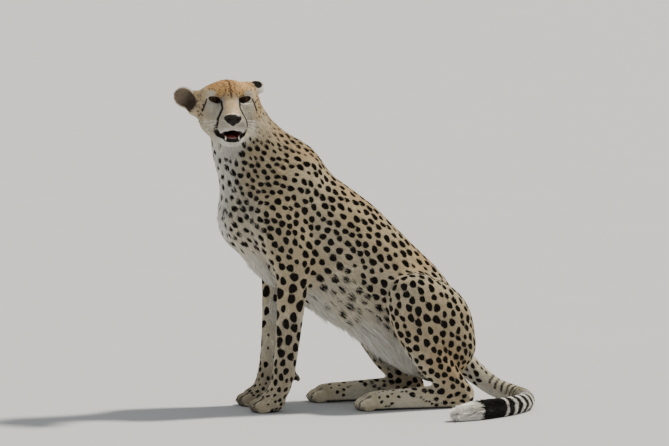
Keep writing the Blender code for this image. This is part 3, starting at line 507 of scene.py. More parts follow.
class Field:
    """The distance to everything added so far, on a grid that is finer through the head."""

    def __init__(self):
        self.axes = [self.axis(*span) for span in zip(GRID_LOW, GRID_HIGH, FINE_SPANS)]
        self.value = np.full([len(axis) for axis in self.axes], FAR, np.float32)

    @staticmethod
    def axis(low, high, spans):
        steps = []
        for start, end, step in spans:
            steps += [np.arange(low, start, COARSE_STEP), np.arange(start, end, step)]
            low = end
        return np.concatenate([*steps, np.arange(low, high, COARSE_STEP)]).astype(np.float32)

    def window(self, form, margin):
        cut = tuple(slice(*np.searchsorted(axis, (low - margin, high + margin)))
                    for axis, low, high in zip(self.axes, form.low, form.high))
        return cut, np.meshgrid(*[axis[part] for axis, part in zip(self.axes, cut)],
                                indexing="ij", sparse=True)

    def add(self, form, blend):
        cut, grid = self.window(form, blend + MARGIN)
        self.value[cut] = blend_min(self.value[cut], form.distance(*grid), blend)

    def carve(self, form, blend):
        cut, grid = self.window(form, blend + MARGIN)
        self.value[cut] = -blend_min(-self.value[cut], form.distance(*grid), blend)

    def surface(self):
        """The zero surface as points and four-cornered faces."""
        grid = openvdb.FloatGrid(FAR)
        grid.copyFromArray(self.value)
        points, quads = grid.convertToQuads(isovalue=0.0)
        places = [np.interp(points[:, i], np.arange(len(axis)), axis)
                  for i, axis in enumerate(self.axes)]
        return np.stack(places, 1), quads[:, ::-1]

    def sample(self, points):
        """The distance at scattered points."""
        cells, shares = [], []
        for i, axis in enumerate(self.axes):
            cell = np.clip(np.searchsorted(axis, points[:, i]) - 1, 0, len(axis) - 2)
            cells.append(cell)
            shares.append((points[:, i] - axis[cell]) / (axis[cell + 1] - axis[cell]))
        total = 0.0
        for corner in np.ndindex(2, 2, 2):
            weight = 1.0
            for share, far in zip(shares, corner):
                weight = weight * (share if far else 1.0 - share)
            total = total + weight * self.value[tuple(cell + far for cell, far in zip(cells, corner))]
        return total

    def outward(self, points, reach=0.0025):
        """The unit direction away from the body at scattered points."""
        slopes = [self.sample(points + reach * way) - self.sample(points - reach * way)
                  for way in np.eye(3)]
        return unit_rows(np.stack(slopes, 1))


# ---- the body's forms
def mirrored(rows, side, forward=(0.0, 0.0)):
    """Stations for one side: x is mirrored, and y moves forward by an amount that grows downwards."""
    shifts = np.linspace(forward[0], forward[1], len(rows))
    return [(side * row[0], row[1] - shift, *row[2:]) for row, shift in zip(rows, shifts)]


def hind_leg_shifts(side):
    """How far forward one side's knee and foot are set."""
    return (RIGHT_KNEE_FORWARD, RIGHT_FOOT_FORWARD) if side < 0 else (0.0, 0.0)


def toe_places(paw_x, toe_y):
    return [(paw_x + across, toe_y + behind, TOE_HEIGHT) for across, behind in TOES]


def paw_centers():
    """The middle x and the toe line's y of each paw."""
    fore_x, hind_x = FORE_PAW[0][0], HIND_BALL[0][0]
    return {"forepaw_left": (fore_x, FORE_TOE_Y), "forepaw_right": (-fore_x, FORE_TOE_Y),
            "hind_foot_left": (hind_x, HIND_TOE_Y),
            "hind_foot_right": (-hind_x, HIND_TOE_Y - RIGHT_FOOT_FORWARD)}


# the last number of each add and carve says how softly the form runs into what is there
def add_trunk(field):
    field.add(limb([(0, *row) for row in TRUNK]), 0.01)
    field.add(ball(*BREAST), 0.04)
    field.add(ball(*BRISKET), 0.04)
    field.add(limb(NECK), 0.05)


def add_fore_leg(field, side):
    field.add(limb(mirrored(SHOULDER_BLADE, side)), 0.03)
    field.add(limb(mirrored(UPPER_ARM, side)), 0.03)
    field.add(limb(mirrored(FOREARM, side)), 0.02)
    for place, radii, blend in ((*ELBOW, 0.02), (*FORE_PAW, 0.012)):
        field.add(ball((side * place[0], *place[1:]), radii), blend)
    field.add(limb(mirrored(WRIST_PAD, side)), 0.01)


def add_hind_leg(field, side):
    knee, foot = hind_leg_shifts(side)
    field.add(limb(mirrored(THIGH, side, (0.0, knee))), 0.055)
    field.add(limb(mirrored(SHANK, side, (knee, foot))), 0.02)
    field.add(limb(mirrored(HIND_FOOT, side, (foot, foot))), 0.015)
    place, radii = HIND_BALL
    field.add(ball((side * place[0], place[1] - foot, place[2]), radii), 0.012)


def add_toes(field):
    for paw_x, toe_y in paw_centers().values():
        for place in toe_places(paw_x, toe_y):
            field.add(ball(place, TOE_SIZE), 0.004)


def add_tail(field):
    field.add(limb([(*row, row[3]) for row in TAIL], across=(0, 0, 1)), 0.02)


def on_head(place):
    """A point given in the head's axes."""
    return EYES + sum((axis * length for axis, length in zip(HEAD_AXES, place)), Vector())


def head_ball(place, radii, side=1, tilt=0.0, roll=0.0):
    """An ellipsoid in the head's axes, turned by tilt and roll in degrees."""
    turn = (Matrix.Rotation(math.radians(side * roll), 3, FACING)
            @ Matrix.Rotation(math.radians(tilt), 3, LEFT))
    return ball(on_head((place[0], side * place[1], place[2])), radii, [turn @ axis for axis in HEAD_AXES])


def head_limb(stations, side=1):
    rows = [(*on_head((a, side * b, c)), width, depth) for a, b, c, width, depth in stations]
    return limb(rows, across=LEFT)


def ear_axes(ear):
    """Root, tip, and the ear's own axes: along it, across it and the way its cup opens."""
    root, tip = on_head(ear[0]), on_head(ear[1])
    along = (tip - root).normalized()
    opening = sum((axis * part for axis, part in zip(HEAD_AXES, ear[2])), Vector())
    opening = (opening - along * opening.dot(along)).normalized()
    return root, tip, (along, opening.cross(along), opening)


def add_ear(field, ear):
    root, tip, axes = ear_axes(ear)
    along, _, opening = axes
    half, width = (tip - root).length / 2, ear[3]
    middle = (root + tip) / 2
    field.add(head_ball(ear[0], ear[4]), 0.014)
    off, deep = EAR_CUP
    field.add(ball(middle + along * 0.002, (half * 1.06, width, EAR_SHELL), axes), 0.006)
    field.carve(ball(middle + opening * off + along * 0.003, (half, width * 0.8, deep), axes), 0.003)


def add_head(field):
    def add(forms, sides=(1,)):
        """Blends in the forms, all of one side first; a tube is told by its number of stations."""
        for side in sides:
            for form, blend in forms:
                shape = head_ball(*form, side) if len(form) == 2 else head_limb(form, side)
                field.add(shape, blend)

    both = (1, -1)
    add(((SKULL, 0.03), (FOREHEAD, 0.015), (THROAT, 0.03)))
    add(((BROW, 0.012), (CHEEK, 0.03), (UNDER_EYE, 0.02)), both)
    add(((MUZZLE, 0.02), (NOSE_BRIDGE, 0.012)))
    add(((WHISKER_PAD, 0.008), (JAWBONE, 0.015)), both)
    add(((CHIN, 0.012), (NOSE_TOP, 0.005), (NOSE_FOOT, 0.004), (NOSE_WEDGE, 0.003)))
    for side in both:
        field.carve(head_ball(*EYE_HOLLOW, side), 0.008)
        field.add(head_ball(EYE_PLACE, (EYE_RADIUS + LID,) * 3, side), 0.006)
        field.carve(eye_opening(side), 0.001)
        field.carve(head_ball(*NOSTRIL, side, roll=25), 0.001)
        field.carve(head_ball(*NOSTRIL_SLIT, side, roll=-12), 0.001)
    field.carve(head_ball(*MOUTH, tilt=MOUTH_TILT), 0.003)
    field.carve(head_ball(*NOSE_GROOVE), 0.001)
    field.carve(head_ball(*LIP_GROOVE), 0.0015)
    for ear in (EAR_RIGHT, EAR_LEFT):
        add_ear(field, ear)
    field.carve(head_ball(*EAR_POUCH, roll=EAR_POUCH_SLANT), 0.004)


def eye_opening(side):
    forward, sideways, up = EYE_PLACE
    return head_ball((forward + EYE_OPENING_FORWARD, sideways, up), EYE_OPENING, side, roll=EYE_SLANT)


def body_field():
    field = Field()
    add_trunk(field)
    for side in (1, -1):
        add_fore_leg(field, side)
        add_hind_leg(field, side)
        field.add(limb(mirrored(WRIST_TIP, side)), 0.004)
    add_toes(field)
    gaps = groove_rows(field)
    for row in gaps:
        field.carve(limb(row), 0.001)
    add_tail(field)
    add_head(field)
    return field, np.array([place[:3] for row in gaps for place in row])


def groove_rows(field):
    """Between each two toes, a line over the paw from its front to its top, and how deep it cuts."""
    rows = []
    angles = np.radians(np.linspace(*GROOVE_ANGLES, 9))
    reach = np.arange(0.004, 0.060, 0.0005)
    for paw_x, toe_y in paw_centers().values():
        toes = toe_places(paw_x, toe_y)
        for (x, y, _), (next_x, next_y, _) in zip(toes[:-1], toes[1:]):
            middle = np.array(((x + next_x) / 2, (y + next_y) / 2 + TOE_SIZE[1] * 0.6, GROOVE_HEIGHT))
            row = []
            for angle in angles:
                line = middle + reach[:, None] * (0.0, -math.cos(angle), math.sin(angle))
                place = line[np.argmax(field.sample(line) > 0)]
                depth = TOE_GROOVE * (1.1 - 0.6 * angle / angles[-1])
                row.append((*place, depth * 0.8, depth))
            rows.append(row)
    return rows


# ---- meshes
def unit_rows(rows):
    return rows / np.maximum(np.linalg.norm(rows, axis=1, keepdims=True), 1e-9)


def triangle_mesh(name, points, triangles):
    """A mesh made in one go from arrays of points and of point numbers."""
    mesh = bpy.data.meshes.new(name)
    mesh.vertices.add(len(points))
    mesh.vertices.foreach_set("co", np.ascontiguousarray(points, np.float32).ravel())
    mesh.loops.add(triangles.size)
    mesh.loops.foreach_set("vertex_index", triangles.astype(np.int32).ravel())
    mesh.polygons.add(len(triangles))
    mesh.polygons.foreach_set("loop_start", np.arange(0, triangles.size, 3, dtype=np.int32))
    mesh.update(calc_edges=True)
    return mesh


def give(mesh, name, values):
    """A value or a colour for each point, kept on the mesh under a name."""
    if values.ndim == 1:
        layer = mesh.attributes.new(name, "FLOAT", "POINT")
        layer.data.foreach_set("value", values.astype(np.float32))
    else:
        colours = np.ones((len(values), 4), np.float32)
        colours[:, :3] = values
        layer = mesh.color_attributes.new(name, "FLOAT_COLOR", "POINT")
        layer.data.foreach_set("color", colours.ravel())


def give_map(mesh, places):
    """The OFBake map: a place for each corner."""
    layer = mesh.uv_layers.new(name="OFBake")
    layer.uv.foreach_set("vector", places.astype(np.float32).ravel())


def add_to_scene(name, data):
    thing = bpy.data.objects.new(name, data)
    bpy.context.scene.collection.objects.link(thing)
    return thing


def add_piece(name, mesh, material, smooth=True):
    piece = add_to_scene(name, mesh)
    mesh.materials.clear()
    mesh.materials.append(material)
    if smooth:
        mesh.shade_smooth()
    else:
        mesh.shade_flat()
    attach(piece, "root")
    return piece


def rows_of(items, name, kind):
    """Three numbers from each of a mesh's points or triangles."""
    values = np.empty(len(items) * 3, kind)
    items.foreach_get(name, values)
    return values.reshape(-1, 3)


def toward(values, share, goal):
    """Values moved in place towards a goal, by each row's share."""
    values += share[:, None] * (np.asarray(goal) - values)


def evaluated(piece):
    return bpy.data.meshes.new_from_object(piece.evaluated_get(bpy.context.evaluated_depsgraph_get()))


# ---- which way the hair grows
def lie_guides():
    """Points inside the body: their part, place and reach, and the way the hair over them grows.

    The last number is 1 where that way leads off from the nose instead.
    """
    guides = []

    def along(part, stations, turn=None):
        rows = smooth_rows(stations, 4)
        for start, end in zip(rows[:-1], rows[1:]):
            way = unit(end[:3] - start[:3]) if turn is None else unit(turn)
            guides.append((part, *(start[:3] + end[:3]) / 2, *way, start[3:].mean(), 0))

    along("trunk", [(0, *row) for row in TRUNK])
    along("neck", NECK[::-1])
    for side, word in ((1, "left"), (-1, "right")):
        knee, foot = hind_leg_shifts(side)
        along(f"foreleg_{word}", mirrored(UPPER_ARM, side))
        along(f"foreleg_{word}", mirrored(FOREARM, side))
        x, y, z = FORE_PAW[0]
        along(f"foreleg_{word}", [(side * x, y + 0.02, z, 0.03, 0.03),
                                  (side * x, y - 0.03, z - 0.005, 0.03, 0.03)])
        along(f"hindleg_{word}", mirrored(THIGH, side, (0.0, knee)), (0, 0.6, -0.8))
        along(f"hindleg_{word}", mirrored(SHANK, side, (knee, foot))[:3])
        along(f"hindleg_{word}", mirrored(HIND_FOOT, side, (foot, foot)))
    along("tail", [(*row, row[3]) for row in TAIL])
    middle = [(1, form) for form in (SKULL, MUZZLE, FOREHEAD, THROAT)]
    for side, (place, radii) in (*middle, (1, CHEEK), (-1, CHEEK)):
        center = on_head((place[0], side * place[1], place[2]))
        guides.append(("head", *center, 0, 0, 0, sum(radii) / 3, 1))
    for ear in (EAR_RIGHT, EAR_LEFT):
        root, tip, (way, _, _) = ear_axes(ear)
        for share in (0.35, 0.8):
            guides.append(("head", *root.lerp(tip, share), *way, 0.034, 0))
    return guides


def grow(points, normals):
    """For each point: the number of its part, and the way its hair lies, along the skin."""
    guides = lie_guides()
    parts = sorted({guide[0] for guide in guides})
    best = np.zeros(len(points))
    part = np.zeros(len(points), int)
    ways = np.zeros_like(points)
    nose = np.array(on_head((0.090, 0, -0.035)))
    for name, x, y, z, i, j, k, reach, radial in guides:
        away = np.linalg.norm(points - (x, y, z), axis=1)
        weight = (reach / np.maximum(away, 0.3 * reach)) ** 6
        ways += weight[:, None] * (unit_rows(points - nose) if radial else np.array((i, j, k)))
        part = np.where(weight > best, parts.index(name), part)
        best = np.maximum(weight, best)
    ways -= normals * (ways * normals).sum(1, keepdims=True)
    return parts, part, unit_rows(ways)


# ---- what the coat is like
def coat_places():
    """Every named place of the coat on both sides: where it is, its values, and how softly it blends."""
    places, rows, blends = [], [], []

    def note(place, blend, tone, *sizes):
        places.append(place)
        rows.append((*tone, *(0, 0, 0)[len(sizes) - 2:], *sizes))
        blends.append(blend)

    for _, (x, y, z), *values in COAT:
        for side in ((1, -1) if x else (1,)):
            knee, foot = hind_leg_shifts(side)
            on_hind_leg = x > HIND_LEG_LEFT and y > HIND_LEG_BACK and z < HIND_LEG_UP
            moved = (knee if z > HOCK_UP else foot) if on_hind_leg else 0.0
            note((side * x, y - moved, z), COAT_BLEND, *values)
    for _, (forward, sideways, up), *values in FACE_COAT:
        for side in ((1, -1) if sideways else (1,)):
            note(on_head((forward, side * sideways, up)), FACE_BLEND, *values)
    return np.array(places, float), np.array(rows), blends


def coat_at(points):
    """Colour, spot spacing, spot half length and half width, hair length and depth at each point."""
    places, table, blends = coat_places()
    spotted = table[:, 3] > 0
    total = np.zeros((len(points), table.shape[1]))
    weights = np.zeros((len(points), 2))
    for place, row, blend, has_spots in zip(places, table, blends, spotted):
        weight = 1.0 / (((points - place) ** 2).sum(1) + blend ** 2) ** 3
        kept = np.ones(table.shape[1])
        kept[3:6] = has_spots
        total += weight[:, None] * row * kept
        weights += weight[:, None] * (1.0, has_spots)
    share = weights[:, 1] / weights[:, 0]
    total[:, :3] /= weights[:, :1]
    total[:, 6:] /= weights[:, :1]
    total[:, 3:6] /= np.maximum(weights[:, 1:], 1e-9)
    total[:, 3] = np.where(share > 0.5, total[:, 3], 0.0)
    return total


def to_head(points):
    """Points as forward, left and up from midway between the eyes."""
    return (points - np.array(EYES)) @ np.array(HEAD_AXES).T


def line_distance(places, line):
    """How far flat points are from a line through the given ones."""
    best = np.full(len(places), FAR)
    line = np.array(line)
    for start, end in zip(line[:-1], line[1:]):
        way = end - start
        share = np.clip(((places - start) @ way) / (way @ way), 0, 1)
        best = np.minimum(best, np.linalg.norm(places - start - share[:, None] * way, axis=1))
    return best


def from_form(form, points):
    return form.distance(points[:, 0], points[:, 1], points[:, 2])


def nearest_form(forms, points):
    return np.minimum.reduce([from_form(form, points) for form in forms])


def step(value, low, high):
    """0 below low, 1 above high, smooth between; low may be the greater."""
    share = np.clip((value - low) / (high - low), 0, 1)
    return share * share * (3 - 2 * share)


class Face:
    """The bare and the dark places of the head, and its painted shade in the parting and the furrows,
    worked out at points near it.
    """

    def __init__(self, points, normals):
        forward, left, up = to_head(points).T
        aside = np.abs(left)
        self.mouth = from_form(head_ball(*MOUTH, tilt=MOUTH_TILT), points)
        flat = np.stack([aside, up], 1)
        corner = line_distance(flat, LIP_LINE) - LIP_WIDTH
        corner = np.where(forward > LIP_BACK, corner, FAR)
        nose = nearest_form([head_ball(*form) for form in (NOSE_TOP, NOSE_FOOT, NOSE_WEDGE)], points)
        nose = np.where(forward > NOSE_BACK, nose - NOSE_BLACK, FAR)
        opening = nearest_form([eye_opening(1), eye_opening(-1)], points)
        rim = opening - RIM_BLACK[0] - RIM_BLACK[1] * step(aside, 0.042, 0.026)
        lower = step(up, -0.090, -0.099)
        around, below, aside_too = LIP_BLACK
        lip = (self.mouth - around - below * lower * step(aside, 0.036, 0.010)
               - aside_too * step(aside, 0.010, 0.02))
        turned = np.maximum(normals @ np.array(FACING), TEAR_TURNED)
        tear = line_distance(flat, TEAR_LINE) / turned - TEAR_WIDTH
        cheek = line_distance(flat, CHEEK_LINE) - CHEEK_LINE_WIDTH
        lines = np.where(forward > LINES_BACK, np.minimum(tear, cheek), FAR)
        # painted shade along the parting and the furrows
        parting = line_distance(np.stack([left, up], 1), PARTING)
        crease = step(parting, PARTING_WIDTH * 2.4, PARTING_WIDTH * 0.3)
        furrow = step(line_distance(flat, FURROW), FURROW_WIDTH * 2.0, FURROW_WIDTH * 0.3)
        crease = np.maximum(crease * PARTING_SHADE, furrow * FURROW_SHADE)
        self.crease = np.where(forward > CREASES_BACK, crease, 0.0)
        dark = np.minimum.reduce([nose, rim, lip, corner, lines])
        self.mark = np.where(self.mouth > INSIDE_MOUTH, 1.0 + dark / MARK_EDGE, NO_MARK)
        self.lining = step(self.mouth, 0.0012, 0.0004)
        self.wet = np.clip(step(nose, 0.0008, -0.0006) + self.lining + step(opening, 0.0015, 0.0), 0, 1)
        self.bare = np.clip(step(nose, 0.0022, 0.0006) + step(self.mouth, 0.0040, 0.0022)
                            + step(opening, 0.0024, 0.0012), 0, 1)


def ear_marks(points, normals):
    """How much each point belongs to an ear, its inside, the painted shade deep in that, its black and its
    white.
    """
    inside, deep, back, white, on_ear = (np.zeros(len(points)) for _ in range(5))
    for ear in (EAR_RIGHT, EAR_LEFT):
        root, tip, axes = ear_axes(ear)
        half, width = (tip - root).length / 2, ear[3]
        along, across, out = np.array(axes) @ (points - np.array((root + tip) / 2)).T
        near = step(along, -half * 0.9, -half * 0.5) * (np.hypot(across, out) < width * 1.3)
        near = near * (along < half * 1.3)
        facing = normals @ np.array(axes[2])
        cup = ((along - half * 0.06) / half) ** 2 + (across / (width * 0.86)) ** 2
        on_ear = np.maximum(on_ear, near)
        inside = np.maximum(inside, near * step(cup, 1.06, 0.86) * step(facing, -0.2, 0.2))
        # painted shade, growing towards the ear's root
        deep = np.maximum(deep, near * step(along, half * 0.7, -half * 0.8))
        behind = near * step(facing, 0.1, -0.25)
        patch = ((along + half * 0.20) / (half * 0.75)) ** 2 + (across / (width * 0.66)) ** 2
        band = step(patch, 1.15, 0.75)
        back = np.maximum(back, near * band * step(facing, 0.0, -0.35))
        white = np.maximum(white, behind * (1 - band) * step(along, -half * 0.6, -half * 0.1))
        rim = near * step(cup, 1.00, 1.12) * step(facing, -0.6, -0.2) * (along > -half * 0.4)
        white = np.maximum(white, rim)
    # the hollow below the right ear: ear hair there, and painted shade
    pouch = step(from_form(head_ball(*EAR_POUCH_SHADE, roll=EAR_POUCH_SLANT), points), 0.0022, -0.0010)
    return *(np.maximum(value, pouch) for value in (on_ear, inside, deep)), back, white


class Tail:
    """How far along the tail each point is."""

    def __init__(self):
        self.rows = smooth_rows([(*row, row[3]) for row in TAIL], 12)[:, :3]
        self.far = np.concatenate([[0], np.cumsum(np.linalg.norm(np.diff(self.rows, axis=0), axis=1))])
        self.tree = tree_of(self.rows)

    def along(self, points):
        nearest = np.array([self.tree.find(point)[1] for point in points])
        ways = unit_rows(np.gradient(self.rows, axis=0)[nearest])
        return self.far[nearest] + ((points - self.rows[nearest]) * ways).sum(1)

    def mark(self, points, upward):
        """The rings: short bars over the top at first, then whole rings, then the black end."""
        along = self.along(points)
        round_it = (1.0 - upward) / 2.0
        wave = 0.0022 * np.sin(9.0 * round_it + 40.0 * along)
        dark = np.abs(along - TAIL_BLACK[0]) - TAIL_BLACK[1]
        for place, half, reach in TAIL_BANDS:
            band = np.abs(along + wave - place) - half
            dark = np.minimum(dark, np.maximum(band, (round_it - reach) * 0.05))
        return 1.0 + dark / MARK_EDGE


# ---- spots
def triangle_points(triangles, amount, weight, rng):
    """Random places on the triangles: the triangle's number and the shares of its corners."""
    chance = np.cumsum(weight)
    picked = np.searchsorted(chance, rng.random(amount) * chance[-1])
    picked = np.minimum(picked, len(triangles) - 1)
    first, second = np.sqrt(rng.random(amount)), rng.random(amount)
    shares = np.stack([1 - first, first * (1 - second), first * second], 1)
    return picked, shares


def spread(values, triangles, picked, shares):
    """Point values carried to places on the triangles."""
    corners = values[triangles[picked]]
    return np.einsum("ij,ij...->i...", shares, corners)


def tree_of(places):
    tree = KDTree(len(places))
    for number, place in enumerate(places.tolist()):
        tree.insert(place, number)
    tree.balance()
    return tree


class Spots:
    """Ovals on the skin, each longer the way the hair lies, evenly strewn."""

    def __init__(self, places, normals, ways, spacing, long, wide, rng):
        tree = tree_of(places)
        free = spacing > 0
        kept = []
        for number in range(len(places)):
            if free[number]:
                kept.append(number)
                for _, other, _ in tree.find_range(places[number], spacing[number] * FIRST_SPACING):
                    free[other] = False
        kept = self.even_out(places, np.array(kept), spacing, tree)
        size = 1.0 + SPOT_JITTER * rng.standard_normal(len(kept)).clip(-2, 1.5)
        size *= SPOT_GROW * np.where(rng.random(len(kept)) < SMALL_SPOTS[0], SMALL_SPOTS[1], 1.0)
        self.places, self.normals, self.ways = places[kept], normals[kept], ways[kept]
        self.tree = tree_of(self.places)
        nearest = np.array([self.tree.find_n(place, 2)[-1][2] for place in self.places])
        size = np.minimum(size, SPOT_SHARE * nearest / np.sqrt(long[kept] * wide[kept]))
        turn = rng.normal(0, SPOT_TURN, len(kept))
        sides = np.cross(self.ways, self.normals)
        self.ways = self.ways * np.cos(turn)[:, None] + sides * np.sin(turn)[:, None]
        self.sides = np.cross(self.ways, self.normals)
        self.long, self.wide = long[kept] * size, wide[kept] * size
        self.bend = rng.random((len(kept), 2)) * 2 * math.pi

    @staticmethod
    def even_out(places, kept, spacing, tree):
        """Moves each spot to the middle of the skin that is nearest to it, a few times over."""
        free = np.flatnonzero(spacing > 0)
        weight = 1.0 / spacing[free] ** 2
        for _ in range(EVEN_ROUNDS):
            spots = tree_of(places[kept])
            owner = np.array([spots.find(place)[1] for place in places[free].tolist()])
            total = np.maximum(np.bincount(owner, weight, len(kept)), 1e-9)
            middle = np.stack([np.bincount(owner, weight * axis, len(kept)) / total
                               for axis in places[free].T], 1)
            kept = np.array([tree.find(place)[1] for place in middle])
        kept = np.unique(kept)
        return kept[spacing[kept] > 0]

    def nearest(self, points):
        return np.array([self.tree.find(point)[1] for point in points.tolist()])

    def mark(self, points, number):
        """1 on the edge of the given spot, less inside it, more outside."""
        away = points - self.places[number]
        along = (away * self.ways[number]).sum(1) / self.long[number]
        across = (away * self.sides[number]).sum(1) / self.wide[number]
        off = (away * self.normals[number]).sum(1) / (1.6 * self.long[number])
        angle = np.arctan2(across, along)
        outline = 1.0
        for bend, (waves, height) in zip(self.bend[number].T, SPOT_WAVES):
            outline = outline + height * np.sin(waves * angle + bend)
        return np.sqrt(along ** 2 + across ** 2 + off ** 2) * outline


# ---- the unwrap
class Unwrap:
    """A flat place for every bit of the skin: each part is laid out as seen from six sides."""

    KEPT = np.array([(1, 2), (0, 2), (0, 1)])  # the axes that each of the three directions leaves

    def __init__(self, points, triangles, part):
        corners = points[triangles]
        faces = np.cross(corners[:, 1] - corners[:, 0], corners[:, 2] - corners[:, 0])
        axis = np.abs(faces).argmax(1)
        back = faces[np.arange(len(faces)), axis] < 0
        self.chart = part[triangles[:, 0]] * 6 + axis * 2 + back
        charts = np.unique(self.chart)
        flat = [corners[self.chart == chart][..., self.KEPT[chart % 6 // 2]] for chart in charts]
        lows = [places.reshape(-1, 2).min(0) for places in flat]
        sizes = [places.reshape(-1, 2).max(0) - low + CHART_GAP for places, low in zip(flat, lows)]
        order = sorted(range(len(charts)), key=lambda number: -sizes[number][1])
        width = math.sqrt(sum(size[0] * size[1] for size in sizes))
        while True:
            x = y = row = 0.0
            corner = {}
            for number in order:
                if x + sizes[number][0] > width:
                    x, y, row = 0.0, y + row, 0.0
                corner[number] = (x, y)
                x, row = x + sizes[number][0], max(row, sizes[number][1])
            if y + row <= width and max(size[0] for size in sizes) <= width:
                break
            width *= 1.03
        self.scale = 1.0 / width
        self.moves = np.zeros((charts.max() + 1, 2))
        for number, chart in enumerate(charts):
            self.moves[chart] = np.array(corner[number]) - lows[number] + CHART_GAP / 2

    def ways(self, vectors, charts):
        """Vectors as they lie in the map."""
        return np.take_along_axis(vectors, self.KEPT[(charts % 6) // 2], 1)

    def places(self, points, charts):
        """Where points of the given charts go in the map, which runs from 0 to 1."""
        return (self.ways(points, charts) + self.moves[charts]) * self.scale


# ---- skin and coat
class Hide:
    """The skin's mesh, and everything the coat needs to know at each of its points."""

    def __init__(self, field, gaps, tail, rng):
        self.field, self.gaps, self.tail = field, tree_of(gaps), tail
        points, quads = field.surface()
        mesh = bpy.data.meshes.new("skin")
        mesh.from_pydata(points.tolist(), [], quads.tolist())
        rough = add_to_scene("skin_rough", mesh)
        thin = rough.modifiers.new("thin", "DECIMATE")
        thin.ratio = SKIN_TRIANGLES / (2 * len(quads))
        mesh = evaluated(rough)
        bpy.data.objects.remove(rough)
        mesh.calc_loop_triangles()
        self.outer = rows_of(mesh.vertices, "co", np.float32).astype(float)
        self.triangles = rows_of(mesh.loop_triangles, "vertices", np.int32)
        self.normals = field.outward(self.outer)
        self.parts, self.part, self.ways = grow(self.outer, self.normals)
        self.on_tail = self.part == self.parts.index("tail")
        self.coat = coat_at(self.outer)
        self.dress()
        self.skin = self.outer - self.normals * self.depth[:, None]
        self.skin[:, 2] = np.maximum(self.skin[:, 2], SKIN_FLOOR)
        first, second, third = self.skin[self.triangles].transpose(1, 0, 2)
        self.areas = np.linalg.norm(np.cross(second - first, third - first), axis=1) / 2
        self.unwrap = Unwrap(self.skin, self.triangles, self.part)
        self.strew(rng)

    def dress(self):
        """Colour, hair length, coat depth, wetness and bareness at each point."""
        face = Face(self.outer, self.normals)
        on_ear, inside, deep, black, white = ear_marks(self.outer, self.normals)
        tone = self.coat[:, :3]
        # the ear's inside, darkening with painted shade deep in the cup and in the hollow below it
        toward(tone, inside, np.array(INNER_EAR) + deep[:, None] * (np.array(EAR_HOLLOW_SHADE) - INNER_EAR))
        toward(tone, white, WHITE)
        # painted shade in the parting and the furrows of the forehead
        toward(tone, face.crease, CREASE_SHADE_BROWN)
        toward(tone, face.lining, MOUTH_RED)
        _, y, z = self.outer.T
        down = -self.normals[:, 2]
        sole = step(down, 0.55, 0.8) * step(z, 0.008, 0.004) * ~self.on_tail
        toward(tone, sole, SOLE_GREY)
        # painted shade in the grooves between the toes and on the toes' low fronts
        crack = self.to_gap(self.outer)
        tone *= 1 - TOE_SHADE * step(crack, TOE_GROOVE * 1.7, TOE_GROOVE * 0.5)[:, None]
        tip = step(crack, 0.024, 0.018) * step(z, 0.017, 0.008) * step(-self.normals[:, 1], 0.1, 0.7)
        tone *= 1 - TOE_TIP_SHADE * tip[:, None]
        for side in (1, -1):
            pad = line_distance(self.outer, [row[:3] for row in mirrored(WRIST_PAD[1:] + WRIST_TIP, side)])
            dark = step(pad, 0.0125, 0.0085) * step(y, -0.042, -0.033)
            toward(tone, PAD_SHARE * dark, PAD_GREY)
        toward(tone, UNDER_TAIL_SHARE * (self.on_tail * step(down, -0.2, 0.6)), WHITE)
        self.tone = tone
        self.hair = self.coat[:, 6] * (1 - on_ear) + EAR_HAIR * on_ear
        self.bare = np.clip(face.bare + sole, 0, 1)
        self.depth = (self.coat[:, 7] * (1 - on_ear) + EAR_DEPTH * on_ear) * (1 - self.bare)
        self.depth = np.where(z < FLATTENED[0], np.minimum(self.depth, FLATTENED[1]), self.depth)
        self.wet = face.wet
        self.black_ear = black
        self.coat[:, 3] *= on_ear < 0.3

    def to_gap(self, points):
        """How far points are from the nearest groove between two toes."""
        found = np.full(len(points), FAR)
        low = np.flatnonzero(points[:, 2] < 0.08)
        found[low] = [self.gaps.find(point)[2] for point in points[low].tolist()]
        return found

    def strew(self, rng):
        """Spots over the skin, and down the tail to where its rings begin."""
        picked, shares = triangle_points(self.triangles, SPOT_TRIALS, self.areas, rng)
        carry = lambda values: spread(values, self.triangles, picked, shares)
        places, on_tail = carry(self.outer), carry(self.on_tail)
        spacing = carry(self.coat[:, 3]) * (carry(self.bare) < 0.3) * (on_tail < 0.5)
        above_rings = (on_tail > 0.5) & (self.tail.along(places) < TAIL_SPOTS_TO)
        spacing = np.where(above_rings, TAIL_SPOT_SPACING, spacing)
        self.spots = Spots(places, unit_rows(carry(self.normals)), unit_rows(carry(self.ways)),
                           spacing, carry(self.coat[:, 4]), carry(self.coat[:, 5]), rng)

    def marks(self, points, normals, spot, part, black_ear):
        """How dark a mark is at points of the coat: under 1 is black."""
        found = self.spots.mark(points, spot)
        head = part == self.parts.index("head")
        if head.any():
            face = Face(points[head], normals[head])
            found[head] = np.minimum(np.where(face.mouth > INSIDE_MOUTH, found[head], NO_MARK), face.mark)
        tail = part == self.parts.index("tail")
        if tail.any():
            found[tail] = np.minimum(found[tail], self.tail.mark(points[tail], normals[tail, 2]))
        return np.minimum(found, 1.6 - 1.2 * black_ear)

    def make_skin(self, shift, material):
        mesh = triangle_mesh("skin", self.skin + shift, self.triangles)
        spots = self.spots.nearest(self.outer)
        give(mesh, "mark", self.marks(self.outer, self.normals, spots, self.part, self.black_ear))
        give(mesh, "tone", self.tone)
        give(mesh, "wet", self.wet)
        charts = np.repeat(self.unwrap.chart, 3)
        give_map(mesh, self.unwrap.places(self.skin[self.triangles].reshape(-1, 3), charts))
        return add_piece("skin", mesh, material)

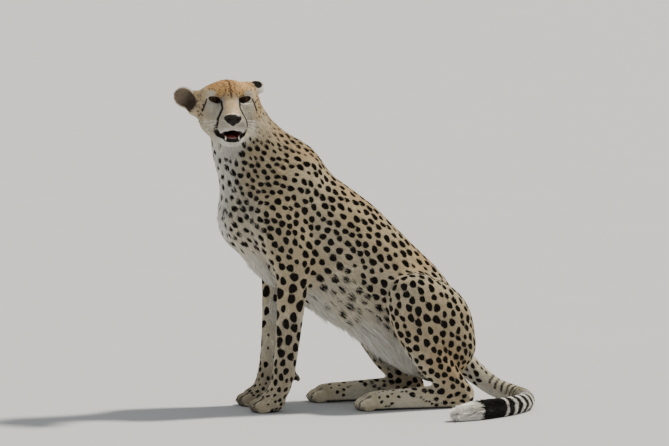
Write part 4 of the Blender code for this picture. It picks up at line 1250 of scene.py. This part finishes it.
    def make_coat(self, shift, material, rng):
        """Tufts over the skin, one piece of mesh for each part of the body."""
        length = self.hair[self.triangles].mean(1)
        cover = (1 - self.bare[self.triangles].mean(1)) / (length * tuft_width(length))
        picked, shares = triangle_points(self.triangles, TUFTS, self.areas * cover, rng)
        order = np.argsort(self.part[self.triangles[picked, 0]], kind="stable")
        picked, shares = picked[order], shares[order]
        part = self.part[self.triangles[picked, 0]]
        for number, name in enumerate(self.parts):
            rows = np.flatnonzero(part == number)
            groups = np.array_split(rows, max(1, math.ceil(len(rows) / PIECE_TUFTS)))
            for count, group in enumerate(groups):
                title = f"coat_{name}" if len(groups) == 1 else f"coat_{name}_{count + 1}"
                self.tufts(title, picked[group], shares[group], shift, material, rng)

    def tufts(self, name, picked, shares, shift, material, rng):
        """One piece of the coat: each tuft is a thin four-sided solid, with its root in the skin."""
        amount = len(picked)
        carry = lambda values: spread(values, self.triangles, picked, shares)
        root, up, way = carry(self.outer), unit_rows(carry(self.normals)), carry(self.ways)
        depth, length = carry(self.depth), carry(self.hair) * rng.uniform(*TUFT_LENGTHS, amount)
        lock = np.sin(root @ (61.0, 233.0, 131.0)) + np.sin(root @ (-97.0, 149.0, -211.0))
        on_tail = self.on_tail[self.triangles[picked, 0]]
        loose = step(length, STAND_FROM, LOCKS_FULL) * np.where(on_tail, TAIL_LOCKS, 1.0)
        length = length * (1 + LOCK_LENGTH * lock * loose)
        aside = LOCK_TURN * loose * np.sin(root @ (83.0, -171.0, 197.0))
        turn = (rng.normal(0, TUFT_TURN, amount) + aside)[:, None]
        way = unit_rows(way - up * (way * up).sum(1, keepdims=True))
        side = np.cross(way, up)
        way, side = way * np.cos(turn) + side * np.sin(turn), side * np.cos(turn) - way * np.sin(turn)
        half = (tuft_width(length) / 2)[:, None]
        long = length[:, None]
        lift = rng.uniform(*TUFT_LIFT, amount)
        places = (root - side * half, root + side * half, root + way * long * TUFT_MIDDLE,
                  root + way * long)
        stand = np.where(on_tail, TAIL_STAND, STAND) * np.maximum(length - STAND_FROM, 0.0)
        stand = stand * rng.uniform(*STAND_SPREAD, amount)
        foot = -TUFT_ROOT[0] * depth - TUFT_ROOT[1]
        levels = (foot, foot, -MIDDLE_DEPTH * depth + stand * MIDDLE_STAND, -depth * (1 - lift) + stand)
        corners = []
        for place, level in zip(places, levels):
            for _ in range(2):
                place = place + up * (level - self.field.sample(place))[:, None].clip(-0.02, 0.02)
            place[:, 2] = np.maximum(place[:, 2], COAT_FLOOR)
            corners.append(place)
        points = np.stack(corners, 1).reshape(-1, 3)
        first = np.arange(amount)[:, None] * 4
        faces = np.array(((0, 1, 2), (1, 3, 2), (0, 2, 3), (0, 3, 1)))
        triangles = (first[:, :, None] + faces[None]).reshape(-1, 3)
        mesh = triangle_mesh(name, points + shift, triangles)
        seen = points.reshape(-1, 4, 3)
        spot = np.repeat(self.spots.nearest(root), 4).reshape(-1, 4)
        short = length <= ONE_COLOUR_FROM
        other = self.spots.nearest(seen[short, 3])
        dark = self.spots.mark(seen[short, 2], spot[short, 2]) < 1.05
        spot[short, 3] = np.where(dark, spot[short, 3], other)
        spot = spot.ravel()
        middle = seen[:, 2:].mean(1)[:, None]
        seen = np.where(short[:, None, None], seen, middle).reshape(-1, 3)
        part = np.repeat(self.part[self.triangles[picked, 0]], 4)
        four = lambda values: np.repeat(values, 4, axis=0)
        give(mesh, "mark", self.marks(seen, four(up), spot, part, four(carry(self.black_ear))))
        give(mesh, "tone", four(carry(self.tone)))
        give(mesh, "tint", four(rng.random(amount)))
        charts = self.unwrap.chart[picked]
        middle = self.unwrap.places(carry(self.skin), charts)
        flat_way, flat_side = (BAKE_PATCH * unit_rows(self.unwrap.ways(ways, charts))
                               for ways in (way, side))
        back = middle - flat_way * TUFT_MIDDLE
        patch = (back - flat_side / 2, back + flat_side / 2, middle, back + flat_way)
        give_map(mesh, np.stack(patch, 1).reshape(-1, 2)[triangles.ravel()])
        add_piece(name, mesh, material, smooth=False)


def tuft_width(length):
    least, growth, longest = TUFT_WIDTH
    return least + growth * np.minimum(length, longest)


# ---- tapered pieces
def strand_tree(material, sides):
    """Makes each chain of edges a tapered solid, as thick as its points say."""
    tree = bpy.data.node_groups.new("tapered_strands", "GeometryNodeTree")
    tree.interface.new_socket("Geometry", in_out="INPUT", socket_type="NodeSocketGeometry")
    count = tree.interface.new_socket("Sides", in_out="INPUT", socket_type="NodeSocketInt")
    count.default_value = sides
    tree.interface.new_socket("Geometry", in_out="OUTPUT", socket_type="NodeSocketGeometry")
    add = tree.nodes.new
    start, end = add("NodeGroupInput"), add("NodeGroupOutput")
    line, thickness = add("GeometryNodeMeshToCurve"), add("GeometryNodeInputNamedAttribute")
    ring, sweep = add("GeometryNodeCurvePrimitiveCircle"), add("GeometryNodeCurveToMesh")
    paint, realize = add("GeometryNodeSetMaterial"), add("GeometryNodeRealizeInstances")
    thickness.inputs["Name"].default_value = "thickness"
    ring.inputs["Radius"].default_value = 1.0
    sweep.inputs["Fill Caps"].default_value = True
    paint.inputs["Material"].default_value = material
    for source, output, target, socket in (
            (start, "Geometry", line, "Mesh"), (line, "Curve", sweep, "Curve"),
            (thickness, "Attribute", sweep, "Scale"), (start, "Sides", ring, "Resolution"),
            (ring, "Curve", sweep, "Profile Curve"), (sweep, "Mesh", realize, "Geometry"),
            (realize, "Geometry", paint, "Geometry"), (paint, "Geometry", end, "Geometry")):
        tree.links.new(source.outputs[output], target.inputs[socket])
    return tree, count.identifier


def add_strands(name, chains, material, shift, sides=8):
    """One piece from chains of points and radii."""
    points, edges, radii = [], [], []
    for chain in chains:
        first = len(points)
        points += [Vector(place) + shift for place, _ in chain]
        radii += [radius for _, radius in chain]
        edges += [(first + i, first + i + 1) for i in range(len(chain) - 1)]
    mesh = bpy.data.meshes.new(name)
    mesh.from_pydata(points, edges, [])
    mesh.attributes.new("thickness", "FLOAT", "POINT").data.foreach_set("value", radii)
    guide = add_to_scene(f"{name}_guide", mesh)
    tree, sides_input = strand_tree(material, sides)
    strands = guide.modifiers.new("strands", "NODES")
    strands.node_group = tree
    strands[sides_input] = sides
    solid = evaluated(guide)
    bpy.data.objects.remove(guide)
    return add_piece(name, solid, material)


def horn(root, way, length, radius, bend=(0, 0, 0), steps=7, blunt=0.12):
    """A bent, tapering chain: from its root along a way, turning towards bend."""
    chain = []
    for i in range(steps + 1):
        share = i / steps
        place = Vector(root) + Vector(way) * (length * share) + Vector(bend) * (length * share * share)
        chain.append((place, radius * max(blunt, (1 - share ** 1.6))))
    return chain


def tooth_chains():
    forward, sideways, up = LOWER_CANINE
    chains = []
    for side in (1, -1):
        root = on_head((forward, side * sideways, up))
        chains.append(horn(root, FACING * 0.10 + LEFT * side * 0.12 + UP, CANINE_LENGTH, CANINE_RADIUS,
                           -FACING * 0.18))
    for i in range(INCISORS):
        across = (i - (INCISORS - 1) / 2) * INCISOR_PITCH
        root = on_head((forward + 0.005 - abs(across) * 0.25, across, up + 0.001))
        chains.append(horn(root, UP, INCISOR_LENGTH, INCISOR_PITCH * 0.46, steps=4, blunt=0.5))
    return chains


def claw_chains():
    chains = []
    for paw_x, toe_y in paw_centers().values():
        for x, y, z in toe_places(paw_x, toe_y):
            root = (x, y - TOE_SIZE[1] + CLAW_ROOT[0], z + CLAW_ROOT[1])
            chains.append(horn(root, (0, -0.80, 0.02), CLAW_LENGTH, CLAW_RADIUS, (0, 0, CLAW_HOOK)))
    return chains


def whisker_chains(rng):
    chains = []
    place, _ = WHISKER_PAD
    for side in (1, -1):
        for i in range(WHISKERS):
            column, row = divmod(i, WHISKER_ROWS)
            forward, sideways, up = (a + b for a, b in zip(place, WHISKER_FIRST))
            forward, sideways = forward + WHISKER_BACK[0] * column, sideways + WHISKER_BACK[1] * column
            root = on_head((forward, side * sideways, up - WHISKER_DOWN * row))
            way = LEFT * side * 0.9 + FACING * (0.25 - 0.25 * column) + UP * (0.10 - 0.12 * row)
            chains.append(horn(root, way, WHISKER_LENGTH * rng.uniform(*WHISKER_SPREAD), WHISKER_RADIUS,
                               UP * WHISKER_DROOP - FACING * 0.25, steps=8))
    return chains


# ---- eyes and tongue
def band(first, second, sectors):
    """Triangles between two rings of points, given the number of each ring's first point."""
    rows = []
    for j in range(sectors):
        k = (j + 1) % sectors
        rows += [(first + j, second + j, second + k), (first + j, second + k, first + k)]
    return rows


def add_eye(word, side, shift, material):
    """An eyeball whose pole looks along the gaze, with a slight dome in front."""
    rings, sectors = EYE_RINGS, EYE_SECTORS
    aside, turn, down = EYE_GAZE
    gaze = (FACING + Vector((aside, turn - EYE_CROSS * side, down))).normalized()
    first = gaze.orthogonal().normalized()
    second = gaze.cross(first)
    middle = on_head((EYE_PLACE[0], side * EYE_PLACE[1], EYE_PLACE[2])) + shift
    height, reach = EYE_DOME
    points, off = [middle + gaze * EYE_RADIUS * (1 + height)], [0.0]
    for i in range(1, rings):
        angle = math.pi * (i / rings) ** RING_CROWDING
        dome = 1.0 + height * max(0.0, 1 - (angle / reach) ** 2)
        for j in range(sectors):
            around = 2 * math.pi * j / sectors
            way = first * math.cos(around) + second * math.sin(around)
            way = way * math.sin(angle) + gaze * math.cos(angle)
            points.append(middle + way * EYE_RADIUS * dome * EYE_FIT)
            off.append(angle)
    points.append(middle - gaze * EYE_RADIUS)
    off.append(math.pi)
    rows = [1 + i * sectors for i in range(rings - 1)]
    triangles = [triangle for pair in zip(rows[:-1], rows[1:]) for triangle in band(*pair, sectors)]
    last = len(points) - 1
    for j in range(sectors):
        k = (j + 1) % sectors
        triangles += [(0, 1 + j, 1 + k), (last, rows[-1] + k, rows[-1] + j)]
    mesh = triangle_mesh(f"eye_{word}_ball", np.array(points), np.array(triangles))
    give(mesh, "off_gaze", np.array(off))
    piece = add_piece(f"eye_{word}_ball", mesh, material)
    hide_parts(f"eye_{word}")


def add_tongue(shift, material):
    """A flat tongue with a groove down its middle and a rounded, slightly raised tip."""
    (forward, _, up), (long, wide, thick) = TONGUE
    tilt = Matrix.Rotation(math.radians(MOUTH_TILT), 3, LEFT)
    axes = [tilt @ axis for axis in HEAD_AXES]
    middle = on_head((forward, 0, up)) + shift
    rings, sectors = TONGUE_RINGS, TONGUE_SECTORS
    points = []
    for i in range(rings + 1):
        angle = math.pi * i / rings
        for j in range(sectors):
            around = 2 * math.pi * j / sectors
            a, out = math.cos(angle), math.sin(angle)
            b, c = out * math.cos(around), out * math.sin(around)
            groove = 0.0016 * math.exp(-(b / 0.16) ** 2) * max(0.0, c)
            points.append(middle + axes[0] * a * long + axes[1] * b * wide
                          + axes[2] * (c * thick - groove + 0.0015 * max(0.0, a) ** 2))
    triangles = [triangle for i in range(rings)
                 for triangle in band(i * sectors, (i + 1) * sectors, sectors)]
    mesh = triangle_mesh("tongue_surface", np.array(points), np.array(triangles))
    piece = add_piece("tongue_surface", mesh, material)
    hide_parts("tongue")


# ---- finishes
class Wire:
    """A value in a material's node tree that takes part in sums and products."""

    def __init__(self, board, socket):
        self.board, self.socket = board, socket

    def __add__(self, other):
        return self.board.sum("ADD", self, other)

    def __sub__(self, other):
        return self.board.sum("SUBTRACT", self, other)

    def __rsub__(self, other):
        return self.board.sum("SUBTRACT", other, self)

    def __mul__(self, other):
        return self.board.sum("MULTIPLY", self, other)


class Finish:
    """A material under way: its nodes are added and joined through one method."""

    def __init__(self, name, **constants):
        self.material = bpy.data.materials.new(name)
        self.material.use_nodes = True
        self.nodes = self.material.node_tree.nodes
        self.links = self.material.node_tree.links
        self.shader = self.nodes["Principled BSDF"]
        for title, value in constants.items():
            self.shader.inputs[title.replace("_", " ").title().replace("Ior", "IOR")].default_value = value

    def node(self, kind, output, inputs, **settings):
        node = self.nodes.new(kind)
        for title, value in settings.items():
            setattr(node, title, value)
        for title, value in inputs.items():
            self.fill(node.inputs[title], value)
        return Wire(self, node.outputs[output])

    def fill(self, socket, value):
        if isinstance(value, Wire):
            self.links.new(value.socket, socket)
        else:
            socket.default_value = value

    def sum(self, operation, first, second):
        return self.node("ShaderNodeMath", 0, {0: first, 1: second}, operation=operation)

    def attribute(self, name, output="Fac"):
        return self.node("ShaderNodeAttribute", output, {}, attribute_name=name)

    def noise(self, scale, detail=2.0):
        place = self.node("ShaderNodeTexCoord", "Object", {})
        return self.node("ShaderNodeTexNoise", "Fac", {"Vector": place, "Scale": scale, "Detail": detail})

    def ramp(self, value, low, high):
        return self.node("ShaderNodeMapRange", 0, {0: value, 1: low, 2: high},
                         interpolation_type="SMOOTHSTEP")

    def mix(self, share, first, second, blend="MIX"):
        """A mix of two colours, given as wires or as red, green and blue."""
        first, second = (tone if isinstance(tone, Wire) else (*tone, 1) for tone in (first, second))
        return self.node("ShaderNodeMix", 2, {0: share, 6: first, 7: second}, data_type="RGBA",
                         blend_type=blend)

    def bump(self, height, strength, distance):
        normal = self.node("ShaderNodeBump", 0, {"Height": height, "Strength": strength,
                                                 "Distance": distance})
        self.fill(self.shader.inputs["Normal"], normal)

    def set(self, title, value):
        self.fill(self.shader.inputs[title], value)


def coat_finish(name, on_skin):
    """Hair colour with black marks; on the skin, fine hair as bump, and wet nose, lips and rims."""
    finish = Finish(name, roughness=0.78, sheen_weight=0.03, sheen_roughness=0.5, specular_ior_level=0.14)
    tone = finish.attribute("tone", "Color")
    patch = finish.noise(28.0, 3.0)
    fine = finish.noise(420.0)
    strand = fine if on_skin else finish.attribute("tint")
    light = strand * 0.42 + patch * 0.30 + 0.64
    light = finish.node("ShaderNodeCombineColor", 0, {0: light, 1: light, 2: light})
    ragged = finish.attribute("mark") + (finish.noise(260.0) - 0.5) * 0.22
    dark = finish.ramp(ragged, 1.08, 0.90)
    ink = finish.mix(strand, (0.007, 0.006, 0.005), (0.024, 0.019, 0.015))
    finish.set("Base Color", finish.mix(dark, finish.mix(1.0, tone, light, "MULTIPLY"), ink))
    if on_skin:
        wet = finish.attribute("wet")
        finish.set("Roughness", 0.80 - wet * 0.48)
        finish.bump(finish.noise(1300.0) * (1.0 - wet * 0.8) + finish.noise(500.0, 1.0) * 0.6, 0.55, 0.0006)
    return finish.material


def eye_finish():
    finish = Finish("wet_amber_eye", roughness=0.12, coat_weight=0.10, coat_roughness=0.03,
                    specular_ior_level=0.08)
    off = finish.attribute("off_gaze")
    iris = finish.mix(finish.noise(900.0, 4.0), (0.022, 0.009, 0.004), (0.075, 0.031, 0.010))
    iris = finish.mix(finish.ramp(off, 0.42, 0.60), iris, (0.012, 0.007, 0.005))
    finish.set("Base Color", finish.mix(finish.ramp(off, 0.25, 0.21), iris, (0.001, 0.001, 0.001)))
    return finish.material


def mottled(name, noise, first, second, bump=None, **constants):
    """A finish of two colours in fine patches: noise is its scale and detail, bump scale and bump."""
    finish = Finish(name, **constants)
    finish.set("Base Color", finish.mix(finish.noise(*noise), first, second))
    if bump:
        finish.bump(finish.noise(bump[0]), *bump[1:])
    return finish.material


def tooth_finish():
    return mottled("ivory_tooth", (160.0, 3.0), (0.80, 0.74, 0.60), (0.62, 0.50, 0.32),
                   (700.0, 0.15, 0.0003), roughness=0.25, coat_weight=0.4, coat_roughness=0.1)


def claw_finish():
    return mottled("dark_claw", (260.0, 3.0), (0.030, 0.022, 0.016), (0.16, 0.12, 0.085),
                   (900.0, 0.2, 0.0002), roughness=0.35, coat_weight=0.3, coat_roughness=0.2)


def whisker_finish():
    return mottled("white_whisker", (90.0,), (0.70, 0.68, 0.62), (0.55, 0.52, 0.46), roughness=0.4)


def tongue_finish():
    return mottled("wet_tongue", (220.0, 3.0), (0.20, 0.035, 0.035), (0.36, 0.085, 0.075),
                   (1100.0, 0.5, 0.0005), roughness=0.35, coat_weight=0.5, coat_roughness=0.15,
                   subsurface_weight=0.15, subsurface_scale=0.003)


# ---- floor, light and camera
def add_camera(shift):
    turn, rise = math.radians(CAMERA_TURN), math.radians(CAMERA_RISE)
    back = Vector((math.sin(turn) * math.cos(rise), -math.cos(turn) * math.cos(rise), math.sin(rise)))
    lens = bpy.data.cameras.new("camera")
    lens.sensor_width, lens.lens, lens.clip_end = FRAME_WIDTH, CAMERA_LENS, CAMERA_REACH
    camera = add_to_scene("camera", lens)
    camera.location = Vector(CAMERA_AIM) + shift + back * CAMERA_AWAY
    camera.rotation_euler = back.to_track_quat("Z", "Y").to_euler()
    bpy.context.scene.camera = camera


def add_studio():
    around = [2 * math.pi * i / FLOOR_SIDES for i in range(FLOOR_SIDES)]
    rim = [(math.cos(angle) * FLOOR_RADIUS, math.sin(angle) * FLOOR_RADIUS, 0) for angle in around]
    mesh = bpy.data.meshes.new("floor")
    mesh.from_pydata(rim, [], [tuple(range(FLOOR_SIDES))])
    mesh.materials.append(mottled("pale_floor", (1.5, 3.0), (0.352, 0.347, 0.338), (0.368, 0.363, 0.354),
                                  roughness=0.9, specular_ior_level=0.1))
    floor = add_to_scene("floor", mesh)
    world = bpy.data.worlds.new("studio")
    bpy.context.scene.world = world
    world.use_nodes = True
    sky = world.node_tree.nodes["Background"].inputs
    sky["Color"].default_value = (0.94, 0.98, 1.03, 1)
    sky["Strength"].default_value = SKY_STRENGTH
    lamp = bpy.data.lights.new("key", "SUN")
    lamp.energy, lamp.angle, lamp.color = KEY_STRENGTH, math.radians(KEY_SOFTNESS), (1.0, 0.96, 0.88)
    add_to_scene("key", lamp).rotation_euler = Vector(KEY_FROM).to_track_quat("Z", "Y").to_euler()


# ---- the whole
FLESH = ("head", "jaw", "nose", "neck", "chest", "loin", "rump", *(f"tail_{i}" for i in range(1, 6)),
         *(f"{name}_{word}" for word in ("left", "right")
           for name in ("ear", "upper_arm", "forearm", "forepaw", "thigh", "shank", "hind_foot")))


def main():
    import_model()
    rng = np.random.default_rng(7)
    low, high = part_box("eye_left")
    shift = (Vector(low) + Vector(high)) / 2 - on_head(EYE_PLACE)
    shift.z = 0.0
    hide = Hide(*body_field(), Tail(), rng)
    skin = hide.make_skin(np.array(shift), coat_finish("spotted_skin", True))
    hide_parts(*FLESH)
    hide.make_coat(np.array(shift), coat_finish("spotted_coat", False), rng)
    eye = eye_finish()
    for word, side in (("left", 1), ("right", -1)):
        add_eye(word, side, shift, eye)
    add_tongue(shift, tongue_finish())
    add_strands("teeth", tooth_chains(), tooth_finish(), shift, sides=10)
    add_strands("claws", claw_chains(), claw_finish(), shift)
    add_strands("whiskers", whisker_chains(rng), whisker_finish(), shift, sides=5)
    add_studio()
    add_camera(shift)


main()
